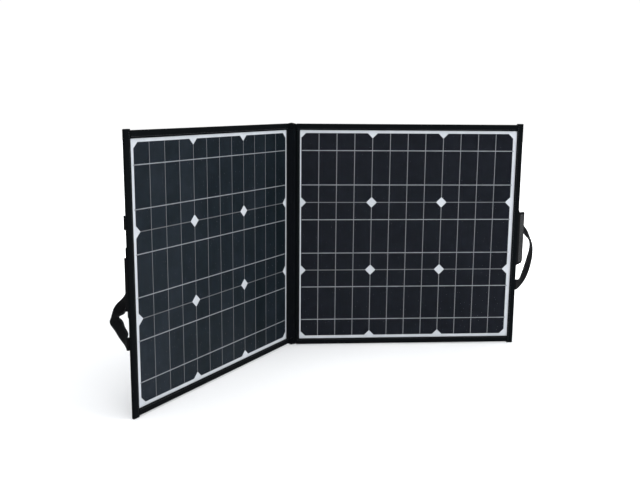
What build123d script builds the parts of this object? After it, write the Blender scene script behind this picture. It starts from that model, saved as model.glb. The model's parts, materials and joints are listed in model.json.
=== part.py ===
from build123d import *
from math import cos, sin, radians, sqrt
from typing import NamedTuple
import os

os.makedirs("parts", exist_ok=True)

# Folding solar suitcase: two fabric-bound solar panels joined by a soft book
# spine, standing open in a V on the ground. Millimetres, +Z up, the origin is
# the middle of the spine's bottom end. The right panel runs along +X and its
# cells look along -Y; the left panel bends forward, towards -Y.
#
# Each panel is measured by u, outward from its fold axis, v, up from its
# middle, and w, from its back surface towards the sunny side.

# ------------------------------------------------------------------ driving dimensions
panel_width = 523.0  # fold axis to the outer edge
half_height = 257.8  # middle of the panel to its top edge
tape_half = 260.0  # the side tapes stand proud of the top and bottom edges
mid_height = tape_half  # the tapes' lower ends are on the ground
skin = 0.8  # fabric thickness
axis_w = 1.5  # the fold axis, above the panel's back surface

spine_pitch = 18.89  # between the two fold axes
spine_thick = 3.0
fold_angle = 55.85  # bend of the left panel out of the right panel's plane
spine_lean = 19.48  # bend of the spine out of the right panel's plane

# layers, as w from and to
board_w = (skin, 3.4)
sheet_w = (3.4, 3.8)
cell_w = (3.8, 4.1)
ribbon_w = (4.1, 4.25)
film_w = (4.35, 4.7)
border_w = (4.9, 5.9)

# fabric and stiffener
fabric_u = (2.0, 508.4)
fabric_half = 243.2
hem_u = (fabric_u[0], 10.0)
board_u = (2.4, 521.6)
board_half = 256.4

# solar laminate
laminate_u = (6.0, 514.0)
laminate_half = 250.0
columns, rows = 12, 3
strip_pitch, strip_width = 40.73, 39.19
row_pitch, strip_height = 158.5, 156.75
grid_start = 12.3  # fold axis to the first strip's cell
corner_leg = 11.0  # cut corner of a wafer, four strips wide
ribbon_u = (13.6, 503.0)
ribbon_width, ribbon_from_row = 1.8, 39.1

# terminals and the lead that crosses the spine
terminal_centre = (315.0, -160.0)
lead_v = terminal_centre[1]
terminal_size = (30.0, 18.0)
terminal_gap = 1.0  # to the board's window, all round
channel_u = (1.4, 301.0)
channel_width = 2.6
lead_u = (2.6, 299.2)
core_offset, core_radius = 0.6, 0.62
core_web = 0.5

# edge bindings
binding_from = 243.4  # middle of the panel to the binding's inner edge
binding_slot_end = 256.6
tape_u = (508.6, panel_width)
tape_depth = 6.0
tape_wall = 1.2  # at the outer edge and both ends
tape_fillet = 0.9

# outer edge fittings: flap and handle are placed from one upright axis
edge_axis_u = 524.5
edge_axis_depth = 3.0  # behind the fold axis plane
flap_span, flap_thick = (2.2, 40.0), 2.0
flap_top, flap_bottom = 55.0, -72.0
flap_corner = 9.0
hook_span, hook_height = (8.0, 36.0), 115.0
hook_corner, hook_thick = 4.0, 0.7
strap_width, strap_thick = 25.0, 1.8
strap_stations = 25
anchor_u, anchor_length = 508.5, 25.0
anchor_corner, anchor_thick = 1.5, 2.4
anchor_top, anchor_bottom = 98.0, -119.5

# kickstand, lying against the panel's back
leg_u = (70.0, 230.0)
leg_w = -3.0  # its middle plane
leg_length = 205.0
fold_v, fold_gap = 90.0, 2.5  # bare strip between leg and hinge, and half its height
leg_top = fold_v - fold_gap
sleeve_thick, sleeve_cavity = 4.0, 2.6
sleeve_side, sleeve_top = 3.0, 6.0  # closed margins round the cavity
leg_board_thick, leg_board_corner = 2.4, 3.0
leg_board_side, leg_board_drop = 3.2, 3.2
leg_board_shorter = 6.8
foot_thick, foot_height, foot_drop = 4.4, 3.0, 1.6
hinge_height, hinge_thick = 18.0, 2.2

# Centre line of each carrying handle. Columns: distance outward and behind the
# edge axis, height from the panel's middle, then the strap's width direction
# as outward, backward and upward parts.
right_handle_line = (
    (-0.2, 2.7, anchor_top, 0.0, 0.0, 1.0),
    (-0.5, 14.0, 97.0, 0.05, 0.15, 1.0),
    (1.0, 30.0, 90.0, 0.15, 0.55, 0.83),
    (9.5, 44.6, 70.0, 0.35, 0.8, 0.48),
    (20.5, 50.5, 38.0, 0.55, 0.78, 0.3),
    (30.8, 50.0, 5.5, 0.6, 0.79, 0.07),
    (38.0, 50.0, -4.4, 0.57, 0.82, 0.03),
    (45.6, 48.0, -20.0, 0.45, 0.88, -0.13),
    (50.2, 46.0, -38.2, 0.47, 0.86, -0.17),
    (48.9, 44.0, -53.9, 0.61, 0.76, -0.25),
    (43.4, 42.0, -73.3, 0.73, 0.6, -0.34),
    (35.9, 38.0, -94.9, 0.73, 0.57, -0.38),
    (25.7, 29.5, -110.0, 0.62, 0.42, -0.62),
    (12.5, 14.0, -118.0, 0.25, 0.2, -0.94),
    (1.9, 1.9, anchor_bottom, 0.0, 0.0, -1.0),
)
left_handle_line = (
    (-0.8, 2.7, anchor_top, 0.0, 0.0, 1.0),
    (-8.0, 14.0, 97.0, -0.05, 0.12, 1.0),
    (-24.0, 27.0, 89.0, -0.2, 0.4, 0.9),
    (-43.0, 36.0, 68.0, -0.4, 0.7, 0.6),
    (-57.0, 40.0, 36.0, -0.45, 0.85, 0.3),
    (-62.0, 41.0, 2.0, -0.4, 0.9, 0.15),
    (-57.0, 41.0, -30.0, -0.3, 0.93, 0.2),
    (-45.9, 41.0, -50.3, -0.17, 0.95, 0.26),
    (-31.8, 42.5, -65.2, -0.08, 0.95, 0.29),
    (-19.8, 42.5, -76.5, 0.14, 0.98, 0.1),
    (-14.8, 41.0, -87.0, 0.3, 0.9, -0.25),
    (-15.0, 36.0, -98.0, 0.25, 0.76, -0.55),
    (-13.5, 27.0, -108.0, 0.22, 0.55, -0.78),
    (-8.0, 13.0, -117.0, 0.1, 0.25, -0.96),
    (-0.8, 2.7, anchor_bottom, 0.0, 0.0, -1.0),
)

# ------------------------------------------------------------------ planes
axis_x = spine_pitch / 2 * cos(radians(spine_lean))
axis_y = -spine_pitch / 2 * sin(radians(spine_lean))
fold_cos, fold_sin = cos(radians(fold_angle)), sin(radians(fold_angle))
lean_cos, lean_sin = cos(radians(spine_lean)), sin(radians(spine_lean))


class Side(NamedTuple):
    name: str
    sign: int  # of local x in the outward direction
    back: Plane  # on the panel's back surface, looking out of the sunny side
    plan: Plane  # on the fold axis, seen from above; local y is backward
    flap_angle: float  # from outward, turning backward
    handle_line: tuple


def make_side(name, sign, x_dir, flap_angle, handle_line):
    origin = (sign * axis_x, sign * axis_y, mid_height)
    sunny = (x_dir[1], -x_dir[0], 0)
    back = Plane(origin=origin, x_dir=x_dir, z_dir=sunny).offset(-axis_w)
    plan = Plane(origin=origin, x_dir=x_dir, z_dir=(0, 0, 1))
    return Side(name, sign, back, plan, flap_angle, handle_line)


right = make_side("right", 1, (1, 0, 0), 53.0, right_handle_line)
left = make_side("left", -1, (fold_cos, fold_sin, 0), 180.0, left_handle_line)

spine_centre = (0, 0, mid_height)
spine_x = (lean_cos, -lean_sin, 0)
spine_face = Plane(origin=spine_centre, x_dir=spine_x, z_dir=(-lean_sin, -lean_cos, 0))
spine_plan = Plane(origin=spine_centre, x_dir=spine_x, z_dir=(0, 0, 1))


# ------------------------------------------------------------------ helpers
def middle(span):
    return (span[0] + span[1]) / 2


def length(span):
    return span[1] - span[0]


def crosswise(face, x, y, z, sign=1):
    """Plane across a face's x direction, its own x pointing up."""
    origin = face.from_local_coords((x, y, z))
    return Plane(origin=origin, x_dir=(0, 0, 1), z_dir=face.x_dir * sign)


def behind(depth):
    """Plane parallel to the right panel, this far behind its back surface."""
    return right.back.offset(-depth)


def upward(u, v, depth):
    """Plane looking up, placed behind the right panel's back surface."""
    origin = right.back.from_local_coords((u, v, -depth))
    return Plane(origin=origin, x_dir=(1, 0, 0), z_dir=(0, 0, 1))


def save(name, builder):
    builder.part.label = name
    export_step(builder.part, f"parts/{name}.step")


def make_plate(side, name, u, v, w):
    """Plain rectangular plate on a panel, each argument a span."""
    with BuildPart() as plate:
        with BuildSketch(side.back.offset(w[0])):
            with Locations((side.sign * middle(u), middle(v))):
                Rectangle(length(u), length(v))
        extrude(amount=length(w))
    save(f"{side.name}_{name}", plate)


def make_lead(name, start_plane, lead_length, box_wires=False):
    """Two-core lead; with box_wires, also two wires from junction box to controller."""
    with BuildPart() as lead:
        with BuildSketch(start_plane):
            with Locations((-core_offset, 0), (core_offset, 0)):
                Circle(core_radius)
            Rectangle(2 * core_offset, core_web)
        extrude(amount=lead_length)
        if box_wires:
            with BuildSketch(upward(0, wire_v[0], wire_depth)):
                with Locations(*wire_places):
                    Circle(wire_radius)
            extrude(amount=length(wire_v))
    save(name, lead)


# ------------------------------------------------------------------ panels
def make_rear_cover(side):
    """Rear fabric; the right one has a window behind the terminals."""
    with BuildPart() as cover:
        with BuildSketch(side.back):
            with Locations((side.sign * middle(fabric_u), 0)):
                Rectangle(length(fabric_u), 2 * fabric_half)
            if side is right:
                with Locations(terminal_centre):
                    Rectangle(18, 12, mode=Mode.SUBTRACT)
        extrude(amount=skin)
    save(f"{side.name}_rear_cover", cover)


def make_stiffener_board(side):
    """Board with a channel for the lead and a window for the terminals."""
    s = side.sign
    with BuildPart() as board:
        with BuildSketch(side.back.offset(board_w[0])):
            with Locations((s * middle(board_u), 0)):
                Rectangle(length(board_u), 2 * board_half)
            with Locations((s * middle(channel_u), lead_v)):
                Rectangle(length(channel_u), channel_width, mode=Mode.SUBTRACT)
            with Locations((s * terminal_centre[0], lead_v)):
                Rectangle(
                    terminal_size[0] + 2 * terminal_gap,
                    terminal_size[1] + 2 * terminal_gap,
                    mode=Mode.SUBTRACT,
                )
        extrude(amount=length(board_w))
    save(f"{side.name}_stiffener_board", board)


def make_terminal_block(side):
    """Block in the board's window, with two pockets in its rear."""
    s = side.sign
    u = terminal_centre[0]
    pocket_offset = 6
    rear = side.back.offset(board_w[0] + 0.1)
    with BuildPart() as block:
        with BuildSketch(rear):
            with Locations((s * u, lead_v)):
                RectangleRounded(*terminal_size, 2)
        extrude(amount=2.4)
        with BuildSketch(rear):
            with Locations((s * (u - pocket_offset), lead_v), (s * (u + pocket_offset), lead_v)):
                Rectangle(6, 8)
        extrude(amount=1.2, mode=Mode.SUBTRACT)
    save(f"{side.name}_terminal_block", block)


def make_solar_cells(side):
    """Cell strips: the first and last of every four carry a wafer's cut corners."""
    s = side.sign
    cut_square = corner_leg * sqrt(2)
    with BuildPart() as cells:
        for row in range(rows):
            v = (row - 1) * row_pitch
            for column in range(columns):
                u = grid_start + strip_pitch * (column + 0.5)
                with BuildSketch(side.back.offset(cell_w[0])):
                    with Locations((s * u, v)):
                        Rectangle(strip_width, strip_height)
                    if column % 4 in (0, 3):
                        cut_u = u + strip_width / 2 * (1 if column % 4 == 3 else -1)
                        with Locations(
                            (s * cut_u, v + strip_height / 2),
                            (s * cut_u, v - strip_height / 2),
                        ):
                            Rectangle(cut_square, cut_square, rotation=45, mode=Mode.SUBTRACT)
                extrude(amount=length(cell_w))
    save(f"{side.name}_solar_cells", cells)


def make_cell_ribbons(side):
    """Tinned ribbons, two along each row of cells."""
    with BuildPart() as ribbons:
        for row in range(rows):
            for rung in (-1, 1):
                v = (row - 1) * row_pitch + rung * ribbon_from_row
                with BuildSketch(side.back.offset(ribbon_w[0])):
                    with Locations((side.sign * middle(ribbon_u), v)):
                        Rectangle(length(ribbon_u), ribbon_width)
                extrude(amount=length(ribbon_w))
    save(f"{side.name}_cell_ribbons", ribbons)


def make_edge_binding(side):
    """Folded tape round the top and the bottom edge, U-shaped in section."""
    s = side.sign
    outer = (binding_from, half_height)
    slot = (binding_from, binding_slot_end)
    slot_w = (skin, border_w[0])
    with BuildPart() as binding:
        for top in (1, -1):
            # local x is up; local y is forward on the right, backward on the left
            with BuildSketch(crosswise(side.back, s * fabric_u[0], 0, 0, s)):
                with Locations((top * middle(outer), s * border_w[1] / 2)):
                    Rectangle(length(outer), border_w[1])
                with Locations((top * middle(slot), s * middle(slot_w))):
                    Rectangle(length(slot), length(slot_w), mode=Mode.SUBTRACT)
            extrude(amount=length(fabric_u))
    save(f"{side.name}_edge_binding", binding)


def make_side_tape(side):
    """Side tape, full height, closed over both corners."""
    s = side.sign
    cavity_u = (tape_u[0], tape_u[1] - tape_wall)
    with BuildPart() as tape:
        with BuildSketch(side.back):
            with Locations((s * middle(tape_u), 0)):
                Rectangle(length(tape_u), 2 * tape_half)
        extrude(amount=tape_depth)
        with BuildSketch(side.back.offset(skin)):
            with Locations((s * middle(cavity_u), 0)):
                Rectangle(length(cavity_u), 2 * (tape_half - tape_wall))
        extrude(amount=border_w[0] - skin, mode=Mode.SUBTRACT)
        # the two outermost of the longest upright edges
        upright = tape.part.edges().filter_by(Axis.Z).group_by(SortBy.LENGTH)[-1]
        outward = Axis((0, 0, 0), tuple(side.back.x_dir * s))
        fillet(upright.sort_by(outward)[-2:], tape_fillet)
    save(f"{side.name}_side_tape", tape)


def make_handle_anchors(side):
    """Stitched webbing tails that anchor the handle on the back."""
    u = side.sign * anchor_u
    with BuildPart() as anchors:
        with BuildSketch(side.back):
            with Locations((u, anchor_top), (u, anchor_bottom)):
                RectangleRounded(anchor_length, strap_width, anchor_corner)
        extrude(amount=-anchor_thick)
    save(f"{side.name}_handle_anchors", anchors)


def make_handle(side):
    """Webbing handle, lofted along its centre line."""
    s, plan = side.sign, side.plan
    centres = [
        plan.from_local_coords((s * (edge_axis_u + out), edge_axis_depth + rear, height))
        for out, rear, height, *_ in side.handle_line
    ]
    widths = [
        (plan.x_dir * (s * out) + plan.y_dir * rear + plan.z_dir * rise).normalized()
        for *_, out, rear, rise in side.handle_line
    ]
    run = Spline(*centres)
    # a second curve beside the first steers the strap's twist
    rail = Spline(*[centre + width * 20 for centre, width in zip(centres, widths)])
    with BuildPart() as handle:
        for station in range(strap_stations):
            fraction = station / (strap_stations - 1)
            centre = run.position_at(fraction)
            along = run.tangent_at(fraction)
            near = rail.position_at(fraction) - centre
            across = (near - along * near.dot(along)).normalized()
            with BuildSketch(Plane(origin=centre, x_dir=across, z_dir=along)):
                Rectangle(strap_width, strap_thick)
        loft(ruled=False)
    save(f"{side.name}_handle", handle)


def make_flap(side):
    """Closure flap with rounded outer corners, and the hook strip sewn to it."""
    s, plan = side.sign, side.plan
    turn = radians(side.flap_angle)
    flap_face = Plane(
        origin=plan.from_local_coords((s * edge_axis_u, edge_axis_depth, 0)),
        x_dir=plan.x_dir * (s * cos(turn)) + plan.y_dir * sin(turn),
        z_dir=plan.x_dir * (s * sin(turn)) - plan.y_dir * cos(turn),
    )
    # the plane's own y points up on the right and down on the left
    flap_mid = s * (flap_top + flap_bottom) / 2
    with BuildPart() as flap:
        with BuildSketch(flap_face.offset(-flap_thick / 2)):
            with Locations((middle(flap_span), flap_mid)):
                flap_shape = Rectangle(length(flap_span), flap_top - flap_bottom)
            fillet(flap_shape.vertices().group_by(Axis.X)[-1], flap_corner)
        extrude(amount=flap_thick)
    save(f"{side.name}_closure_flap", flap)

    with BuildPart() as strip:
        with BuildSketch(flap_face.offset(flap_thick / 2)):
            with Locations((middle(hook_span), flap_mid)):
                RectangleRounded(length(hook_span), hook_height, hook_corner)
        extrude(amount=hook_thick)
    save(f"{side.name}_hook_strip", strip)


def make_kickstand(side):
    """Fabric sleeve, open at the bottom, round a stiff board, with foot and hinge."""
    leg_mid = side.sign * middle(leg_u)
    sleeve_mid = leg_top - leg_length / 2
    with BuildPart() as sleeve:
        with BuildSketch(side.back.offset(leg_w - sleeve_thick / 2)):
            with Locations((leg_mid, sleeve_mid)):
                Rectangle(length(leg_u), leg_length)
        extrude(amount=sleeve_thick)
        with BuildSketch(side.back.offset(leg_w - sleeve_cavity / 2)):
            with Locations((leg_mid, sleeve_mid - sleeve_top)):
                Rectangle(length(leg_u) - 2 * sleeve_side, leg_length)
        extrude(amount=sleeve_cavity, mode=Mode.SUBTRACT)
    save(f"{side.name}_kickstand_sleeve", sleeve)

    with BuildPart() as board:
        with BuildSketch(side.back.offset(leg_w - leg_board_thick / 2)):
            with Locations((leg_mid, sleeve_mid - leg_board_drop)):
                RectangleRounded(
                    length(leg_u) - 2 * leg_board_side,
                    leg_length - leg_board_shorter,
                    leg_board_corner,
                )
        extrude(amount=leg_board_thick)
    save(f"{side.name}_kickstand_board", board)

    # foot tape under the sleeve's lower end
    foot_mid = leg_top - leg_length - foot_drop
    foot_v = (foot_mid - foot_height / 2, foot_mid + foot_height / 2)
    foot_w = (leg_w - foot_thick / 2, leg_w + foot_thick / 2)
    make_plate(side, "kickstand_foot", leg_u, foot_v, foot_w)

    # hinge strip across the panel's back, above the leg
    hinge_v = (fold_v + fold_gap, fold_v + fold_gap + hinge_height)
    make_plate(side, "kickstand_hinge", leg_u, hinge_v, (-hinge_thick, 0))


def make_panel(side):
    fabric_v = (-fabric_half, fabric_half)
    laminate_v = (-laminate_half, laminate_half)
    lead_start = crosswise(
        side.back, side.sign * lead_u[0], lead_v, middle(board_w), side.sign
    )
    make_rear_cover(side)
    make_stiffener_board(side)
    make_terminal_block(side)
    make_lead(f"{side.name}_panel_lead", lead_start, length(lead_u), box_wires=side is right)
    make_plate(side, "backsheet", laminate_u, laminate_v, sheet_w)
    make_solar_cells(side)
    make_cell_ribbons(side)
    make_plate(side, "front_film", laminate_u, laminate_v, film_w)
    make_edge_binding(side)
    make_side_tape(side)
    # narrow fabric hem over the laminate's inner edge, along the fold
    make_plate(side, "inner_hem", hem_u, fabric_v, border_w)
    make_handle_anchors(side)
    make_handle(side)
    make_flap(side)
    make_kickstand(side)


# ------------------------------------------------------------------ spine
core_width, core_thick, core_half = 16.0, 1.8, 256.0
groove_floor = 0.2
cavity_size = (16.4, 2.0)
cavity_half = 256.2  # reach of the cavity into both end bindings
slot_length = spine_pitch + spine_thick  # the ends are rounded about the fold axes
spine_lead_half = 10.6
spine_hole_half = 12.0


def make_spine_core():
    """Inner strip of the spine, grooved for the lead."""
    with BuildPart() as core:
        with BuildSketch(spine_face.offset(-core_thick / 2)):
            Rectangle(core_width, 2 * core_half)
        extrude(amount=core_thick)
        with BuildSketch(spine_face.offset(groove_floor - core_thick / 2)):
            with Locations((0, lead_v)):
                Rectangle(core_width, channel_width)
        extrude(amount=core_thick - groove_floor, mode=Mode.SUBTRACT)
    save("spine_core", core)


def make_spine_cover():
    """Fabric sleeve of the spine, pierced at both edges for the lead."""
    with BuildPart() as cover:
        with BuildSketch(spine_plan.offset(-fabric_half)):
            SlotOverall(slot_length, spine_thick)
            Rectangle(*cavity_size, mode=Mode.SUBTRACT)
        extrude(amount=2 * fabric_half)
        with BuildSketch(crosswise(spine_face, -spine_hole_half, lead_v, 0)):
            Rectangle(2.7, 1.5)
        extrude(amount=2 * spine_hole_half, mode=Mode.SUBTRACT)
    save("spine_cover", cover)


def make_spine_end_bindings():
    """Tape caps over the spine's two ends; the lower one rests on the ground."""
    with BuildPart() as bindings:
        with BuildSketch(spine_plan.offset(binding_from)):
            SlotOverall(slot_length, spine_thick)
        extrude(amount=half_height - binding_from)
        with BuildSketch(spine_plan.offset(-mid_height)):
            SlotOverall(slot_length, spine_thick)
        extrude(amount=mid_height - binding_from)
        with BuildSketch(spine_plan.offset(-cavity_half)):
            Rectangle(*cavity_size)
        extrude(amount=2 * cavity_half, mode=Mode.SUBTRACT)
    save("spine_end_bindings", bindings)


def make_spine():
    make_spine_core()
    make_spine_cover()
    make_spine_end_bindings()
    lead_start = crosswise(spine_face, -spine_lead_half, lead_v, 0)
    make_lead("spine_lead", lead_start, 2 * spine_lead_half)


# ------------------------------------------------------------------ pouch on the right panel's back
# Depths are counted backward from the right panel's back surface, so a
# negative extrusion runs away from the panel and a positive one towards it.
pouch_u, pouch_v = (262.0, 462.0), (-205.0, -45.0)
pouch_deep, pouch_wall = 22.0, 1.2
zip_u, zip_v = (272.0, 452.0), -58.0
zip_mid, zip_length = middle(zip_u), length(zip_u)
slider_u = zip_u[1] - 12
slider_size = (12, 9, 2)  # width, height, corner radius
pin_depth, pin_from_centre = 25.3, 2.7


def make_pouch():
    with BuildPart() as pouch:
        with BuildSketch(behind(0)):
            with Locations((middle(pouch_u), middle(pouch_v))):
                RectangleRounded(length(pouch_u), length(pouch_v), 12)
        extrude(amount=-pouch_deep)
        fillet(pouch.part.faces().sort_by(Axis.Y)[-1].edges(), 5)
        # hollowed from the side that lies on the panel
        offset(amount=-pouch_wall, openings=pouch.part.faces().sort_by(Axis.Y)[0])
        # slot for the zip
        with BuildSketch(behind(pouch_deep + 1)):
            with Locations((zip_mid, zip_v)):
                Rectangle(zip_length, 11)
        extrude(amount=3, mode=Mode.SUBTRACT)
    save("pouch", pouch)


def make_zip_tape():
    with BuildPart() as tape:
        with BuildSketch(behind(20.15)):
            with Locations((zip_mid, zip_v + 4.9), (zip_mid, zip_v - 4.9)):
                Rectangle(zip_length, 4.4)
        extrude(amount=-0.6)
    save("zip_tape", tape)


def make_zip_teeth():
    """Two cords, each with a row of teeth on its inner side."""
    cord_offset, tooth_offset = 2.15, 1.15
    tooth_pitch, tooth_count = 2.0, 86
    with BuildPart() as teeth:
        with BuildSketch(behind(19.8)):
            with Locations((zip_mid, zip_v + cord_offset), (zip_mid, zip_v - cord_offset)):
                Rectangle(zip_length - 6, 0.7)
            with Locations((zip_mid, zip_v + tooth_offset), (zip_mid, zip_v - tooth_offset)):
                with GridLocations(tooth_pitch, 1, tooth_count, 1):
                    Rectangle(1.1, 1.32)
        extrude(amount=-1.6)
    save("zip_teeth", teeth)


def make_zip_slider():
    """Two plates joined by a neck, with two ears that hold the pull's pin."""
    with BuildPart() as slider:
        for plate_depth, plate_thick in ((21.9, 1.3), (18.5, 0.8)):
            with BuildSketch(behind(plate_depth)):
                with Locations((slider_u, zip_v)):
                    RectangleRounded(*slider_size)
            extrude(amount=-plate_thick)
        # neck
        with BuildSketch(behind(18.9)):
            with Locations((slider_u + 2, zip_v)):
                Rectangle(5, 0.7)
        extrude(amount=-3.4)
        # ears
        with BuildSketch(behind(23.1)):
            with Locations(
                (slider_u, zip_v + pin_from_centre),
                (slider_u, zip_v - pin_from_centre),
            ):
                Rectangle(2.6, 1.2)
        extrude(amount=-3.3)
        # pin
        with BuildSketch(upward(slider_u, zip_v - pin_from_centre, pin_depth)):
            Circle(0.8)
        extrude(amount=2 * pin_from_centre)
    save("zip_slider", slider)


def make_zip_pull():
    """Eye round the slider's pin and a flat tab with a slot near its far end."""
    eye_half, tab_u = 1.9, slider_u - 17
    with BuildPart() as pull:
        with BuildSketch(upward(slider_u, zip_v - eye_half, pin_depth)):
            Circle(1.8)
            with Locations((-4, 0)):
                Rectangle(8, 1.3)
            Circle(0.86, mode=Mode.SUBTRACT)
        extrude(amount=2 * eye_half)
        with BuildSketch(behind(pin_depth + 0.65)):
            with Locations((tab_u, zip_v)):
                RectangleRounded(20, 6.4, 2)
            with Locations((tab_u - 6, zip_v)):
                SlotOverall(5, 2.4, mode=Mode.SUBTRACT)
        extrude(amount=-1.3)
    save("zip_pull", pull)


# ------------------------------------------------------------------ housings in the pouch
def post_places(centre, x_offset, y_offset):
    return [
        (centre[0] + x, centre[1] + y)
        for x in (-x_offset, x_offset)
        for y in (-y_offset, y_offset)
    ]


housing_wall, housing_corner, inner_corner = 2, 4, 2.5

box_centre = terminal_centre
box_size = (56, 44)
box_inside = tuple(size - 2 * housing_wall for size in box_size)
box_deep, box_floor = 9, 1.5
lid_thick = 2.2
box_posts = post_places(box_centre, 24, 18)

case_centre = (330, -96.5)
case_size = (110, 63)
case_inside = tuple(size - 2 * housing_wall for size in case_size)
case_front, case_joint, case_rear = 1.0, 11.0, 19.0  # depths; base and cover meet at the joint
case_floor, cover_cavity = 1.8, 6.2
case_posts = post_places(case_centre, 48, 25)

circuit_depth, circuit_thick = 8.0, 1.6
circuit_rear = circuit_depth + circuit_thick
display_centre = (312, -84)
button_centre = (350, -106)

# wires from junction box to controller, and the holes they pass through
wire_depth, wire_radius, wire_hole = 5, 1.15, 1.3
wire_v = (-139.5, -124.5)
wire_places = ((box_centre[0] - 5, 0), (box_centre[0] + 5, 0))
cable_depth, cable_radius, cable_hole = 5, 2.2, 2.3


def make_junction_box():
    """Box over the rear cover's window, open at the rear, with four screw posts."""
    with BuildPart() as box:
        with BuildSketch(behind(0)):
            with Locations(box_centre):
                RectangleRounded(*box_size, housing_corner)
                Rectangle(16, 10, mode=Mode.SUBTRACT)
        extrude(amount=-box_deep)
        with BuildSketch(behind(box_floor)):
            with Locations(box_centre):
                RectangleRounded(*box_inside, inner_corner)
            with Locations(*box_posts):
                Circle(3.2, mode=Mode.SUBTRACT)
        extrude(amount=box_floor - box_deep, mode=Mode.SUBTRACT)
        with BuildSketch(behind(box_deep)):
            with Locations(*box_posts):
                Circle(1.05)
        extrude(amount=6.5, mode=Mode.SUBTRACT)
        with BuildSketch(upward(0, -140, wire_depth)):
            with Locations(*wire_places):
                Circle(wire_hole)
        extrude(amount=4, mode=Mode.SUBTRACT)
    save("junction_box", box)


def make_junction_lid():
    with BuildPart() as lid:
        with BuildSketch(behind(box_deep)):
            with Locations(box_centre):
                RectangleRounded(*box_size, housing_corner)
            with Locations(*box_posts):
                Circle(1.2, mode=Mode.SUBTRACT)
        extrude(amount=-lid_thick)
        fillet(lid.part.faces().sort_by(Axis.Y)[-1].outer_wire().edges(), 1)
    save("junction_lid", lid)


def make_bypass_diodes():
    """Two upright cylinders in the junction box."""
    with BuildPart() as diodes:
        for u_offset in (-12, 12):
            with BuildSketch(upward(box_centre[0] + u_offset, box_centre[1] - 6, 4.6)):
                Circle(2.2)
            extrude(amount=12)
    save("bypass_diodes", diodes)


def make_controller_base():
    """Front half of the charge controller's case; its posts carry the circuit board."""
    cavity_depth = case_front + case_floor
    with BuildPart() as base:
        with BuildSketch(behind(case_front)):
            with Locations(case_centre):
                RectangleRounded(*case_size, housing_corner)
        extrude(amount=case_front - case_joint)
        with BuildSketch(behind(cavity_depth)):
            with Locations(case_centre):
                RectangleRounded(*case_inside, inner_corner)
            with Locations(*case_posts):
                Circle(3.5, mode=Mode.SUBTRACT)
        extrude(amount=cavity_depth - case_joint, mode=Mode.SUBTRACT)
        # cut the posts down to the circuit board
        with BuildSketch(behind(circuit_depth)):
            with Locations(*case_posts):
                Circle(3.6)
        extrude(amount=circuit_depth - case_joint, mode=Mode.SUBTRACT)
        with BuildSketch(behind(circuit_depth)):
            with Locations(*case_posts):
                Circle(1.3)
        extrude(amount=4.5, mode=Mode.SUBTRACT)
        # holes in the lower wall for the wires and the output cable
        with BuildSketch(upward(0, -129, wire_depth)):
            with Locations(*wire_places):
                Circle(wire_hole)
            with Locations((cable_route[0][0], 0)):
                Circle(cable_hole)
        extrude(amount=4, mode=Mode.SUBTRACT)
    save("controller_base", base)


def make_controller_board():
    """Circuit board with a square block under the button and a larger one beside it."""
    with BuildPart() as board:
        with BuildSketch(behind(circuit_depth)):
            with Locations(case_centre):
                Rectangle(104, 57)
            with Locations(*case_posts):
                Circle(1.5, mode=Mode.SUBTRACT)
        extrude(amount=-circuit_thick)
        with BuildSketch(behind(circuit_rear)):
            with Locations(button_centre):
                Rectangle(6.2, 6.2)
            with Locations((300, -112)):
                Rectangle(14, 10)
        extrude(amount=-3.8)
    save("controller_board", board)


def make_usb_ports():
    """Two plain blocks on the circuit board."""
    with BuildPart() as ports:
        with BuildSketch(behind(circuit_rear)):
            with Locations((376.2, -86), (376.2, -104)):
                Rectangle(13, 13.2)
        extrude(amount=-6.9)
    save("usb_ports", ports)


def make_controller_display():
    """Display body, and its smaller face that fills the cover's window."""
    body_thick = 7.4
    with BuildPart() as display:
        with BuildSketch(behind(circuit_rear)):
            with Locations(display_centre):
                Rectangle(38, 22)
        extrude(amount=-body_thick)
        with BuildSketch(behind(circuit_rear + body_thick)):
            with Locations(display_centre):
                Rectangle(33.8, 17.8)
        extrude(amount=-1.9)
    save("controller_display", display)


def make_controller_cover():
    """Rear half of the case, with openings for display, button and screws."""
    with BuildPart() as cover:
        with BuildSketch(behind(case_joint)):
            with Locations(case_centre):
                RectangleRounded(*case_size, housing_corner)
        extrude(amount=case_joint - case_rear)
        fillet(cover.part.faces().sort_by(Axis.Y)[-1].edges(), 1.5)
        with BuildSketch(behind(case_joint)):
            with Locations(case_centre):
                RectangleRounded(*case_inside, inner_corner)
            with Locations(*case_posts):
                Circle(3.2, mode=Mode.SUBTRACT)
        extrude(amount=-cover_cavity, mode=Mode.SUBTRACT)
        with BuildSketch(behind(case_joint - 1)):
            with Locations(display_centre):
                Rectangle(34, 18)
            with Locations(button_centre):
                Circle(4.05)
            with Locations(*case_posts):
                Circle(1.4)
        extrude(amount=-10, mode=Mode.SUBTRACT)
    save("controller_cover", cover)


def make_housing_screws():
    """Cross-head screws that close both housings."""
    head_height, recess_deep = 1.25, 0.6
    # places, depth under the head, head radius, shank radius, shank length
    screw_sets = (
        (box_posts, box_deep + lid_thick, 2.1, 1.0, 7.5),
        (case_posts, case_rear, 2.3, 1.25, 14.0),
    )
    with BuildPart() as screws:
        for places, seat, head_radius, shank_radius, shank_length in screw_sets:
            with BuildSketch(behind(seat)):
                with Locations(*places):
                    Circle(head_radius)
            extrude(amount=-head_height)
            with BuildSketch(behind(seat)):
                with Locations(*places):
                    Circle(shank_radius)
            extrude(amount=shank_length)
            with BuildSketch(behind(seat + head_height)):
                with Locations(*places):
                    Rectangle(2.6, 0.5)
                    Rectangle(0.5, 2.6)
            extrude(amount=recess_deep, mode=Mode.SUBTRACT)
    save("housing_screws", screws)


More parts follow.
